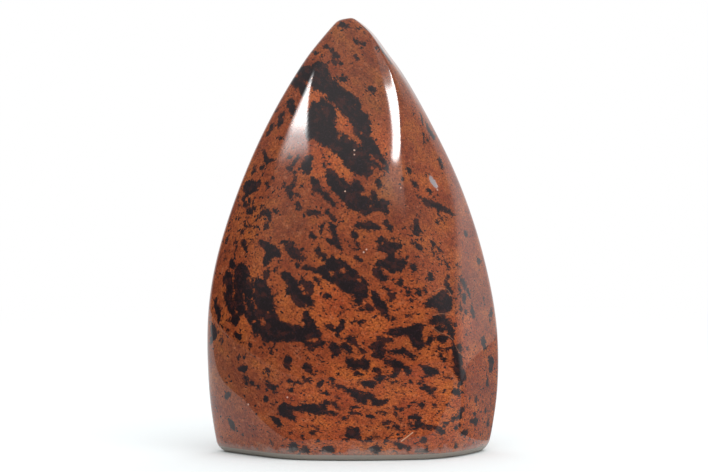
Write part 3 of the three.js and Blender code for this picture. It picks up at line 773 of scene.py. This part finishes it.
def make_studio():
    world = bpy.data.worlds.new("studio")
    bpy.context.scene.world = world
    world.use_nodes = True
    tree = world.node_tree
    tree.nodes.clear()
    direction = add_node(tree, "ShaderNodeTexCoord").outputs["Generated"]
    parts = add_node(tree, "ShaderNodeSeparateXYZ", None, {0: direction})
    right = parts.outputs["X"]
    back = parts.outputs["Y"]
    ahead = add_node(tree, "ShaderNodeMath", {"operation": "MULTIPLY"}, {0: back, 1: -1}).outputs[0]
    turn = add_node(tree, "ShaderNodeMath", {"operation": "ARCTAN2"}, {0: right, 1: ahead}).outputs[0]
    azimuth = add_node(tree, "ShaderNodeMath", {"operation": "DEGREES"}, {0: turn}).outputs[0]
    aside = add_node(tree, "ShaderNodeMath", {"operation": "ABSOLUTE"}, {0: azimuth}).outputs[0]
    to_the_left = add_node(tree, "ShaderNodeMath", {"operation": "MULTIPLY"}, {0: azimuth, 1: -1}).outputs[0]
    rise = add_node(tree, "ShaderNodeMath", {"operation": "ARCSINE"}, {0: parts.outputs["Z"]}).outputs[0]
    height = add_node(tree, "ShaderNodeMath", {"operation": "DEGREES"}, {0: rise}).outputs[0]

    front = level_by_height(tree, height, FRONT_LEVELS)
    left = level_by_height(tree, height, LEFT_LEVELS)
    sides = level_by_height(tree, height, SIDE_LEVELS)
    edge = level_by_height(tree, height, EDGE_LEVELS)
    level = blend_beyond(tree, azimuth, RIGHT_SIDE_FROM, SIDE_SOFT, front, sides)
    level = blend_beyond(tree, azimuth, RIGHT_EDGE_FROM, RIGHT_EDGE_SOFT, level, edge)
    level = blend_beyond(tree, to_the_left, LEFT_FROM, LEFT_SOFT, level, left)
    level = blend_beyond(tree, to_the_left, LEFT_SIDE_FROM, SIDE_SOFT, level, sides)
    level = blend_beyond(tree, aside, BEHIND_FROM, BEHIND_SOFT, level, ROOM_BEHIND)
    # The camera itself sees a plain white backdrop.
    seen_directly = add_node(tree, "ShaderNodeLightPath").outputs["Is Camera Ray"]
    strength = add_node(
        tree, "ShaderNodeMix", {"data_type": "FLOAT"}, {"Factor": seen_directly, "A": level, "B": 1.0},
    ).outputs[0]
    background = add_node(
        tree, "ShaderNodeBackground", None, {"Color": (1, 1, 1, 1), "Strength": strength},
    ).outputs[0]
    add_node(tree, "ShaderNodeOutputWorld", None, {"Surface": background})
    bpy.context.scene.view_settings.view_transform = "Standard"


# A broad soft light overhead, in front and a little to the right, which lights the stone and the table but
# isn't mirrored in the polish.
FILL_PLACE = (0.45, -0.95, 1.35)
FILL_SIZE = 1.6
FILL_POWER = 10.0


def make_fill():
    aim = (-Vector(FILL_PLACE)).to_track_quat("-Z", "Y").to_euler()
    bpy.ops.object.light_add(type="AREA", location=FILL_PLACE, rotation=aim)
    fill = bpy.context.object
    fill.name = "overhead_fill"
    fill.data.size = FILL_SIZE
    fill.data.energy = FILL_POWER
    fill.visible_glossy = False


# The white table, which fades into the pure white of the backdrop between two distances from the stone, and
# the grey cards that lie on it in front of the stone and to its right. Only the polish mirrors the cards:
# they keep the lower half of the front dark, as in any picture of a polished stone. The sizes are in metres.
TABLE_RADIUS = 1.6
TABLE_EDGES = 96
TABLE_WHITE = "#f8fdfe"
FADES_FROM = 0.12
FADED_AT = 0.5
MATT_ROUGHNESS = 0.9
FRONT_CARD = [
    (-0.030, -0.027), (-0.045, -0.022), (-0.075, -0.018), (-0.10, 0.0), (-0.16, 0.04), (-0.40, 0.20),
    (-1.3, 0.80), (-1.41, -0.50), (-0.6, -1.45), (0.6, -1.45), (1.07, -1.27), (0.040, -0.042),
    (-0.018, -0.042),
]
RIGHT_CARD = [(0.0405, -0.010), (1.5, -0.14), (1.2, 0.9), (0.9, 1.2), (0.0405, 0.030)]
FRONT_CARD_GREY = "#8a8a8c"
RIGHT_CARD_GREY = "#969698"
CARD_LIFT = 0.4 * MM


def make_table():
    deselect_all()
    bpy.ops.mesh.primitive_circle_add(
        vertices=TABLE_EDGES, radius=TABLE_RADIUS, fill_type="NGON", location=(0, 0, 0),
    )
    table = bpy.context.object
    table.name = "pale_table"
    material = new_material("white_table_lacquer")
    tree = material.node_tree
    shader = tree.nodes["Principled BSDF"]
    shader.inputs["Base Color"].default_value = to_linear(TABLE_WHITE)
    shader.inputs["Roughness"].default_value = MATT_ROUGHNESS
    shader.inputs["Specular IOR Level"].default_value = 0
    place = add_node(tree, "ShaderNodeTexCoord").outputs["Object"]
    distance = add_node(tree, "ShaderNodeVectorMath", {"operation": "LENGTH"}, {0: place}).outputs["Value"]
    far_share = add_node(
        tree, "ShaderNodeMapRange", {"interpolation_type": "SMOOTHSTEP"},
        {"Value": distance, "From Min": FADES_FROM, "From Max": FADED_AT},
    ).outputs[0]
    white = add_node(tree, "ShaderNodeEmission", None, {"Strength": 1.0}).outputs[0]
    faded = add_node(
        tree, "ShaderNodeMixShader", None, {0: far_share, 1: shader.outputs[0], 2: white},
    ).outputs[0]
    tree.links.new(faded, tree.nodes["Material Output"].inputs["Surface"])
    table.data.materials.append(material)


def make_card(name, corners, grey):
    material = new_material("grey_card_board")
    shader = material.node_tree.nodes["Principled BSDF"]
    shader.inputs["Base Color"].default_value = to_linear(grey)
    shader.inputs["Roughness"].default_value = MATT_ROUGHNESS
    points = [(x, y, CARD_LIFT) for x, y in corners]
    card = mirrored_sheet(name, points, [list(range(len(corners)))], material)


# The stone's own surface. Distances to the patches and the chip are kept on it in millimetres, to a limit.
MERGE_WITHIN = 0.01 * MM
FLAT_ENOUGH = math.radians(60)  # two triangles become a four-sided face where they bend less than this
SMOOTHING_LEVELS = 2
KEPT_UP_TO = 6

# How far a point faces the camera goes from 1, squarely, through 0 at the outline, to -1 on the back. The
# back's patches end there, as their distances grow by a shift, and so do the zones of the front.
BACK_ENDS_FROM = -0.02
BACK_ENDS_OVER = 0.12
BACK_SHIFT = 8
ZONES_END_OVER = 0.2
SCATTER_FACING_UP_TO = 0.1


def polished_copy(node):
    """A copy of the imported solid, merged, turned to four-sided faces, and subdivided until it is smooth."""
    deselect_all()
    stone = bpy.data.objects.new("polished_stone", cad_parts[node].data.copy())
    bpy.context.scene.collection.objects.link(stone)
    stone.data.materials.clear()
    stone.select_set(True)
    bpy.context.view_layer.objects.active = stone
    bpy.ops.object.mode_set(mode="EDIT")
    bpy.ops.mesh.select_all(action="SELECT")
    bpy.ops.mesh.remove_doubles(threshold=MERGE_WITHIN)
    bpy.ops.mesh.tris_convert_to_quads(face_threshold=FLAT_ENOUGH, shape_threshold=FLAT_ENOUGH)
    bpy.ops.object.mode_set(mode="OBJECT")
    smooth = stone.modifiers.new("smooth", "SUBSURF")
    smooth.levels = SMOOTHING_LEVELS
    smooth.render_levels = SMOOTHING_LEVELS
    bpy.ops.object.modifier_apply(modifier=smooth.name)
    bpy.ops.object.shade_smooth()
    return stone


def skin_of(stone):
    mesh = bmesh.new()
    mesh.from_mesh(stone.data)
    skin = BVHTree.FromBMesh(mesh)
    mesh.free()
    return skin


def vertex_arrays(stone):
    """The places and the normals of the stone's vertices."""
    count = len(stone.data.vertices)
    places = np.zeros(count * 3, np.float32)
    stone.data.vertices.foreach_get("co", places)
    normals = np.zeros(count * 3, np.float32)
    stone.data.vertex_normals.foreach_get("vector", normals)
    return places.reshape(-1, 3).astype(float), normals.reshape(-1, 3).astype(float)


def distance_to_chains(places, chains):
    """How far each point lies outside the nearest chain of dabs, in millimetres, and below 0 inside one."""
    nearest = np.full(len(places), np.inf)
    points = places / MM
    for chain in chains:
        if len(chain) == 1:
            chain = chain * 2
        for (start, start_radius), (end, end_radius) in zip(chain, chain[1:]):
            begin = np.array(start) / MM
            along = np.array(end) / MM - begin
            length = max(float(along @ along), 1e-9)
            share = np.clip((points - begin) @ along / length, 0, 1)
            gap = np.linalg.norm(points - begin - share[:, None] * along, axis=1)
            radius = start_radius + share * (end_radius - start_radius)
            np.minimum(nearest, gap - radius, out=nearest)
    return nearest


def laid_on(skin, patches, from_behind=False):
    """The patches as chains of points on the stone."""
    return [
        [(surface_point(skin, across, up, from_behind), radius) for across, up, radius in patch]
        for patch in patches
    ]


def scattered_dabs(skin, places, normals):
    """Short seeded streaks along the flow of the glass, over the sides and the back."""
    chance = random.Random(SCATTER_SEED)
    facing = normals @ -np.array(VIEW_FORWARD)
    hidden = [i for i in range(len(places)) if facing[i] < SCATTER_FACING_UP_TO]
    chains = []
    for _ in range(SCATTERED_DABS):
        start = Vector(places[chance.choice(hidden)])
        slope = STREAK_SLOPE_AT_FOOT + STREAK_SLOPE_GAINED * min(start.z / STREAK_SLOPE_FULL_AT, 1)
        slope = math.radians(slope + chance.uniform(-STREAK_SLOPE_SPREAD, STREAK_SLOPE_SPREAD))
        length = chance.uniform(0.0, LONGEST_STREAK)
        end = start + Vector((math.cos(slope), 0, -math.sin(slope))) * length
        end = skin.find_nearest(end)[0]
        radius = chance.choice(DAB_RADII)
        chains.append([(start, radius), (end, radius * chance.uniform(0.5, 1.0))])
    return chains


def zone_values(across, up, seen, zones, elsewhere):
    """A value for each point, blended from the zones round it and the value for elsewhere."""
    weight = np.full(len(across), WEIGHT_ELSEWHERE)
    values = weight * elsewhere
    for zone_across, zone_up, reach, value in zones:
        share = seen * np.exp(-((across - zone_across) ** 2 + (up - zone_up) ** 2) / reach ** 2)
        weight = weight + share
        values = values + share * value
    return values / weight


def paint_patches(stone):
    """Stores how far each point of the stone is from black glass and the chip, and the zones' values."""
    skin = skin_of(stone)
    places, normals = vertex_arrays(stone)
    facing = normals @ -np.array(VIEW_FORWARD)
    front = distance_to_chains(places, laid_on(skin, BLACK_PATCHES))
    islands = distance_to_chains(places, laid_on(skin, BROWN_ISLANDS))
    hidden_chains = laid_on(skin, BACK_PATCHES, from_behind=True) + scattered_dabs(skin, places, normals)
    back = distance_to_chains(places, hidden_chains)
    back = back + BACK_SHIFT * np.clip((facing - BACK_ENDS_FROM) / BACK_ENDS_OVER, 0, 1)
    outside_black = np.maximum(np.minimum(front, back), -islands)
    outside_chip = distance_to_chains(places, laid_on(skin, [CHIP]))
    set_attribute(stone, "outside_black", np.clip(outside_black, -KEPT_UP_TO, KEPT_UP_TO))
    set_attribute(stone, "outside_chip", np.clip(outside_chip, -KEPT_UP_TO, KEPT_UP_TO))

    across, up = picture_places(places)
    seen = np.clip(facing / ZONES_END_OVER + 0.5, 0, 1)
    set_attribute(stone, "speck_crowding", zone_values(across, up, seen, SPECK_ZONES, SPECKS_ELSEWHERE))
    set_attribute(stone, "rust", zone_values(across, up, seen, RUST_ZONES, RUST_ELSEWHERE))


def dent_chip(stone):
    """Sinks the chip into the polish, as a shallow dish."""
    skin = skin_of(stone)
    places, normals = vertex_arrays(stone)
    outside = distance_to_chains(places, laid_on(skin, [CHIP]))
    deselect_all()
    stone.select_set(True)
    bpy.context.view_layer.objects.active = stone
    bpy.ops.object.mode_set(mode="EDIT")
    bpy.ops.mesh.select_all(action="DESELECT")
    bpy.ops.object.mode_set(mode="OBJECT")
    stone.data.vertices.foreach_set("select", outside < CHIP_FLOOR_WITHIN)
    bpy.ops.object.mode_set(mode="EDIT")
    bpy.ops.transform.shrink_fatten(
        value=-CHIP_DEPTH, use_proportional_edit=True, proportional_edit_falloff="SHARP",
        proportional_size=CHIP_REACH,
    )
    bpy.ops.object.mode_set(mode="OBJECT")


# Mahogany obsidian: a natural glass, so it takes a mirror polish. Iron colours the red-brown glass, and the
# black glass is the same stone without it; their borders are ragged, with thin dark-brown rims. The narrow
# bevel round the foot was only ground, so it is paler and dull. Above it, a pale grey haze is painted into
# the colour: a painted reflection of the white table.
GLASS_IOR = 1.49
POLISH_ROUGHNESS = 0.03
GROUND_ROUGHNESS = 0.42
FLOW_SLOPE_LOW = math.radians(8)
FLOW_SLOPE_HIGH = math.radians(46)
FLOW_LOW_UP_TO = 10 * MM
FLOW_HIGH_FROM = 85 * MM
FLOW_STRETCH = (1.9, 1.3, 1.0)
BEVEL_TOP = 1.55 * MM
BEVEL_EDGE_SOFT = 0.12 * MM
REFLECTION_HAZE_SPREAD = 6.0  # how raggedly the painted reflection above the bevel ends, in millimetres
CHIP_FRAY = 0.9
CHIP_EDGE_SOFT = 0.15
LINE_HALF_WIDTH = 0.07

# Every pattern in the glass is a noise: the places that it reads, its size in millimetres, detail and
# roughness. The lobes and the fray make the ragged edges; specks are black and flecks dark brown.
PATTERNS = {
    "lobes": ("flow", 1.7, 4.0, 0.62),
    "fray": ("flow", 0.45, 3.0, 0.65),
    "specks": ("flow", 0.72, 3.0, 0.6),
    "flecks": ("flow", 0.36, 2.0, 0.6),
    "clouds": ("flow", 5.0, 4.0, 0.6),
    "streaks": ("flow", 0.8, 3.0, 0.6),
    "veins": ("flow", 1.5, 4.0, 0.65),
    "grain": ("even", 0.42, 2.0, 0.65),
}
LOBE_DEPTH = 3.0
FRAY_DEPTH = 2.0
EDGE_DRAWN_IN = 0.12  # the patches' edges are drawn in by this, since the specks beside them add to them
SPECK_LIMITS = (0.72, 0.615)  # the noise that makes a speck where they are rare, and where they crowd
FLECK_LIMITS = (0.66, 0.565)
SPECK_STEEPNESS = 8.0
SPECKS_MERGE_OVER = 0.1

# Specks crowd beside the patches: the crowding, how near to a patch it is full, and how far off it ends.
CROWDING_BESIDE_PATCHES = 0.9
CROWDING_FULL_AT = 0.5
CROWDING_ENDS_AT = 3.0

# The grain's noise from its low to its high end, and how much darker or brighter it makes the brown glass.
GRAIN_ENDS = (0.28, 0.72)
GRAIN_BRIGHTNESS = (0.4, 1.62)

# The brown glass in dull, middling and rusty places, each from its darkest to its brightest cloud.
DULL_BROWN = [(0.34, "#5e2c18"), (0.5, "#753f1e"), (0.66, "#804e22")]
BROWN = [(0.34, "#6c2a16"), (0.5, "#863e1f"), (0.66, "#984f22")]
RUSTY_BROWN = [(0.34, "#8c361a"), (0.5, "#a84e22"), (0.66, "#ba6129")]
BRIGHT_STREAKS = "#a56242"
DARK_STREAKS = "#4c1c12"
DARK_FLECKS = "#3a150e"
RUST_ROUND_PATCHES = "#98481f"
DARK_RIM = "#2e120d"
BLACK = "#15080b"
VEINS_IN_BLACK = "#3c1812"
GRAIN_IN_BLACK = "#33222c"
HEALED_CRACK = "#b87c5c"
SCRATCH = "#d8ac8c"
CHIP_FLOOR = "#8e8689"
CHIP_RIM = "#a0766c"
# The pale colour of the nicks' painted glints: painted highlights.
PAINTED_GLINT_COLOUR = "#dcb4a0"
# A pale grey haze painted into the glass above the bevel: a painted reflection of the white table.
PAINTED_TABLE_REFLECTION = "#a8a29c"
GROUND_GLASS = "#8e8a81"


def lay_over(tree, colour, layers):
    """Lays colours over a colour: the pattern, where it starts and where it is full, how much, colour."""
    if isinstance(colour, str):
        colour = to_linear(colour)
    for pattern, starts, full, amount, over in layers:
        if isinstance(over, str):
            over = to_linear(over)
        share = add_node(
            tree, "ShaderNodeMapRange", {"interpolation_type": "SMOOTHSTEP"},
            {"Value": pattern, "From Min": starts, "From Max": full, "To Max": amount},
        ).outputs[0]
        colour = add_node(
            tree, "ShaderNodeMix", {"data_type": "RGBA"}, {"Factor": share, 6: colour, 7: over},
        ).outputs[2]
    return colour


def cloud_colours(tree, clouds, stops):
    """The colour of each cloud, from the darkest to the brightest."""
    colours = add_node(tree, "ShaderNodeValToRGB", None, {"Fac": clouds})
    ramp = colours.color_ramp
    while len(ramp.elements) < len(stops):
        ramp.elements.new(0.5)
    for element, (position, colour) in zip(ramp.elements, stops):
        element.position = position
        element.color = to_linear(colour)
    return colours.outputs["Color"]


def flow_places(tree, place):
    """Places in millimetres along the flow of the glass: nearly level at the foot, steep at the crown."""
    scale = [stretch * MM for stretch in FLOW_STRETCH]
    turned = []
    for slope in (FLOW_SLOPE_LOW, FLOW_SLOPE_HIGH):
        turned.append(add_node(
            tree, "ShaderNodeMapping", {"vector_type": "TEXTURE"},
            {"Vector": place, "Rotation": (0, slope, 0), "Scale": scale},
        ).outputs[0])
    height = add_node(tree, "ShaderNodeSeparateXYZ", None, {0: place}).outputs["Z"]
    share = add_node(
        tree, "ShaderNodeMapRange", None,
        {"Value": height, "From Min": FLOW_LOW_UP_TO, "From Max": FLOW_HIGH_FROM},
    ).outputs[0]
    return add_node(
        tree, "ShaderNodeMix", {"data_type": "VECTOR"}, {"Factor": share, 4: turned[0], 5: turned[1]},
    ).outputs[1]


def glass_patterns(tree, place):
    even = add_node(
        tree, "ShaderNodeMapping", {"vector_type": "TEXTURE"}, {"Vector": place, "Scale": (MM, MM, MM)},
    ).outputs[0]
    places = {"flow": flow_places(tree, place), "even": even}
    patterns = {}
    for name, (kind, size, detail, roughness) in PATTERNS.items():
        patterns[name] = add_node(
            tree, "ShaderNodeTexNoise", None,
            {"Vector": places[kind], "Scale": 1 / size, "Detail": detail, "Roughness": roughness},
        ).outputs["Fac"]
    return patterns


def ragged_edge(tree, outside, patterns):
    """The distance to the patches' edges, moved in and out by the lobes and the fray."""
    edge = add_node(tree, "ShaderNodeMath", {"operation": "ADD"}, {0: outside, 1: EDGE_DRAWN_IN}).outputs[0]
    for name, depth in (("lobes", LOBE_DEPTH), ("fray", FRAY_DEPTH)):
        shift = add_node(
            tree, "ShaderNodeMath", {"operation": "MULTIPLY_ADD"},
            {0: patterns[name], 1: -depth, 2: depth / 2},
        ).outputs[0]
        edge = add_node(tree, "ShaderNodeMath", {"operation": "ADD"}, {0: edge, 1: shift}).outputs[0]
    return edge


def depth_in_specks(tree, crowding, pattern, limits):
    """How far a noise is over the limit that makes a speck, which is lower where specks crowd."""
    limit = add_node(
        tree, "ShaderNodeMapRange", None, {"Value": crowding, "To Min": limits[0], "To Max": limits[1]},
    ).outputs[0]
    return add_node(tree, "ShaderNodeMath", {"operation": "SUBTRACT"}, {0: pattern, 1: limit}).outputs[0]


def distance_to_line(tree, place, start, end):
    """How far the shaded point lies from a straight line between two points."""
    along = end - start
    offset = add_node(
        tree, "ShaderNodeVectorMath", {"operation": "SUBTRACT"}, {0: place, 1: start},
    ).outputs["Vector"]
    share = add_node(
        tree, "ShaderNodeVectorMath", {"operation": "DOT_PRODUCT"},
        {0: offset, 1: along / along.length_squared},
    ).outputs["Value"]
    share = add_node(tree, "ShaderNodeClamp", None, {"Value": share}).outputs[0]
    nearest = add_node(
        tree, "ShaderNodeVectorMath", {"operation": "SCALE"}, {0: along, "Scale": share},
    ).outputs["Vector"]
    return add_node(
        tree, "ShaderNodeVectorMath", {"operation": "DISTANCE"}, {0: offset, 1: nearest},
    ).outputs["Value"]


def outside_nearest(tree, gaps):
    """The least of some distances, each less its own radius, in millimetres."""
    nearest = KEPT_UP_TO
    for gap, radius in gaps:
        gap = add_node(
            tree, "ShaderNodeMath", {"operation": "MULTIPLY_ADD"}, {0: gap, 1: 1 / MM, 2: -radius},
        ).outputs[0]
        nearest = add_node(
            tree, "ShaderNodeMath", {"operation": "MINIMUM"}, {0: nearest, 1: gap},
        ).outputs[0]
    return nearest


# How far each point lies from the painted glints of the nicks, which are painted highlights.
def outside_painted_glints(tree, place, skin):
    gaps = []
    for across, up, radius in PAINTED_GLINTS:
        point = surface_point(skin, across, up)
        gap = add_node(tree, "ShaderNodeVectorMath", {"operation": "DISTANCE"}, {0: place, 1: point})
        gaps.append((gap.outputs["Value"], radius))
    return outside_nearest(tree, gaps)


def outside_lines(tree, place, skin, lines):
    gaps = []
    for line in lines:
        points = [surface_point(skin, across, up) for across, up in line]
        for start, end in zip(points, points[1:]):
            gaps.append((distance_to_line(tree, place, start, end), LINE_HALF_WIDTH))
    return outside_nearest(tree, gaps)


def mahogany_obsidian(skin):
    material = new_material("mahogany_obsidian_mirror_polished")
    tree = material.node_tree
    shader = tree.nodes["Principled BSDF"]
    shader.inputs["IOR"].default_value = GLASS_IOR

    place = add_node(tree, "ShaderNodeTexCoord").outputs["Object"]
    height = add_node(tree, "ShaderNodeSeparateXYZ", None, {0: place}).outputs["Z"]
    stored = {}
    for name in ("outside_black", "speck_crowding", "rust", "outside_chip"):
        stored[name] = add_node(tree, "ShaderNodeAttribute", {"attribute_name": name}).outputs["Fac"]
    patterns = glass_patterns(tree, place)
    clouds = patterns["clouds"]
    streaks = patterns["streaks"]
    grain = patterns["grain"]

    # The black glass: the patches with their ragged edges, and the specks.
    edge = ragged_edge(tree, stored["outside_black"], patterns)
    beside = add_node(
        tree, "ShaderNodeMapRange", None,
        {
            "Value": edge, "From Min": CROWDING_ENDS_AT, "From Max": CROWDING_FULL_AT,
            "To Max": CROWDING_BESIDE_PATCHES,
        },
    ).outputs[0]
    crowding = add_node(
        tree, "ShaderNodeMath", {"operation": "MAXIMUM"}, {0: stored["speck_crowding"], 1: beside},
    ).outputs[0]
    speck = depth_in_specks(tree, crowding, patterns["specks"], SPECK_LIMITS)
    speck = add_node(
        tree, "ShaderNodeMath", {"operation": "MULTIPLY"}, {0: speck, 1: -SPECK_STEEPNESS},
    ).outputs[0]
    edge = add_node(
        tree, "ShaderNodeMath", {"operation": "SMOOTH_MIN"}, {0: edge, 1: speck, 2: SPECKS_MERGE_OVER},
    ).outputs[0]
    flecks = depth_in_specks(tree, crowding, patterns["flecks"], FLECK_LIMITS)
    black = lay_over(tree, BLACK, [
        (patterns["veins"], 0.48, 0.64, 0.85, VEINS_IN_BLACK),
        (grain, 0.52, 0.72, 0.6, GRAIN_IN_BLACK),
    ])

    # The red-brown glass: clouds from deep mahogany to bright rust, with streaks, flecks and fine grain.
    rust = stored["rust"]
    brown = lay_over(tree, cloud_colours(tree, clouds, DULL_BROWN), [
        (rust, -0.8, 0.1, 1.0, cloud_colours(tree, clouds, BROWN)),
        (rust, 0.1, 0.9, 1.0, cloud_colours(tree, clouds, RUSTY_BROWN)),
        (streaks, 0.53, 0.72, 0.5, BRIGHT_STREAKS),
        (streaks, 0.46, 0.28, 0.75, DARK_STREAKS),
    ])
    grain_light = add_node(
        tree, "ShaderNodeMapRange", None,
        {
            "Value": grain, "From Min": GRAIN_ENDS[0], "From Max": GRAIN_ENDS[1],
            "To Min": GRAIN_BRIGHTNESS[0], "To Max": GRAIN_BRIGHTNESS[1],
        },
    ).outputs[0]
    brown = add_node(
        tree, "ShaderNodeHueSaturation", None, {"Color": brown, "Value": grain_light},
    ).outputs["Color"]

    # Where the painted reflection of the table above the bevel, the ground bevel itself and the chip lie.
    painted_reflection_height = add_node(
        tree, "ShaderNodeMath", {"operation": "MULTIPLY_ADD"},
        {0: patterns["lobes"], 1: REFLECTION_HAZE_SPREAD, 2: -REFLECTION_HAZE_SPREAD / 2},
    ).outputs[0]
    painted_reflection_height = add_node(
        tree, "ShaderNodeMath", {"operation": "MULTIPLY_ADD"}, {0: height, 1: 1 / MM, 2: painted_reflection_height},
    ).outputs[0]
    ground = add_node(
        tree, "ShaderNodeMapRange", {"interpolation_type": "SMOOTHSTEP"},
        {"Value": height, "From Min": BEVEL_TOP + BEVEL_EDGE_SOFT, "From Max": BEVEL_TOP - BEVEL_EDGE_SOFT},
    ).outputs[0]
    chip_edge = add_node(
        tree, "ShaderNodeMath", {"operation": "MULTIPLY_ADD"},
        {0: patterns["fray"], 1: -CHIP_FRAY, 2: CHIP_FRAY / 2},
    ).outputs[0]
    chip_edge = add_node(
        tree, "ShaderNodeMath", {"operation": "ADD"}, {0: stored["outside_chip"], 1: chip_edge},
    ).outputs[0]
    chip = add_node(
        tree, "ShaderNodeMapRange", {"interpolation_type": "SMOOTHSTEP"},
        {"Value": chip_edge, "From Min": CHIP_EDGE_SOFT, "From Max": -CHIP_EDGE_SOFT},
    ).outputs[0]
    bare = lay_over(tree, CHIP_FLOOR, [(chip_edge, -0.5, 0.0, 0.7, CHIP_RIM)])

    # Rust glows just outside the black glass, then comes a thin dark-brown rim, and then the black. The
    # small marks with the painted glints of the nicks, the pale haze of painted table reflection above the
    # bevel and the dull ground bevel lie over them.
    glass = lay_over(tree, brown, [
        (flecks, -0.01, 0.035, 0.92, DARK_FLECKS),
        (edge, 1.8, 0.6, 0.3, RUST_ROUND_PATCHES),
        (edge, 0.5, 0.02, 1.0, DARK_RIM),
        (edge, 0.16, -0.2, 1.0, black),
        (outside_lines(tree, place, skin, HEALED_CRACKS), 0.12, -0.04, 0.3, HEALED_CRACK),
        (outside_lines(tree, place, skin, SCRATCHES), 0.14, -0.02, 0.75, SCRATCH),
        (chip, 0.0, 1.0, 1.0, bare),
        # Pale dots at the nicks: painted highlights, the glints of tiny pits.
        (outside_painted_glints(tree, place, skin), 0.1, -0.1, 0.8, PAINTED_GLINT_COLOUR),
        # The pale haze above the bevel is a painted reflection of the table.
        (painted_reflection_height, 3.6, 1.4, 0.34, PAINTED_TABLE_REFLECTION),
        (ground, 0.0, 1.0, 0.86, GROUND_GLASS),
    ])
    tree.links.new(glass, shader.inputs["Base Color"])
    dull = add_node(tree, "ShaderNodeMath", {"operation": "MAXIMUM"}, {0: ground, 1: chip}).outputs[0]
    roughness = add_node(
        tree, "ShaderNodeMapRange", None,
        {"Value": dull, "To Min": POLISH_ROUGHNESS, "To Max": GROUND_ROUGHNESS},
    ).outputs[0]
    tree.links.new(roughness, shader.inputs["Roughness"])
    return material


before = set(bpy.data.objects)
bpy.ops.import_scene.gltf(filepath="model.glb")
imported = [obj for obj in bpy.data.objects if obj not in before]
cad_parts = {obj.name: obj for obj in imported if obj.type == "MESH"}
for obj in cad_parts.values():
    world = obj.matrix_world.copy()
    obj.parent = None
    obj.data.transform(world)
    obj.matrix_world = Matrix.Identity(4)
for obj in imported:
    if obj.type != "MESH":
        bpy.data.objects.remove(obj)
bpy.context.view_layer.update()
make_camera()
make_studio()
for name, windows in SOFTBOXES.items():
    make_softbox(name, windows)
make_fill()
make_table()
make_card("front_card", FRONT_CARD, FRONT_CARD_GREY)
make_card("right_card", RIGHT_CARD, RIGHT_CARD_GREY)

stone = polished_copy("stone")
paint_patches(stone)
dent_chip(stone)
stone.data.materials.append(mahogany_obsidian(skin_of(stone)))
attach(stone, "root")
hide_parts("stone")
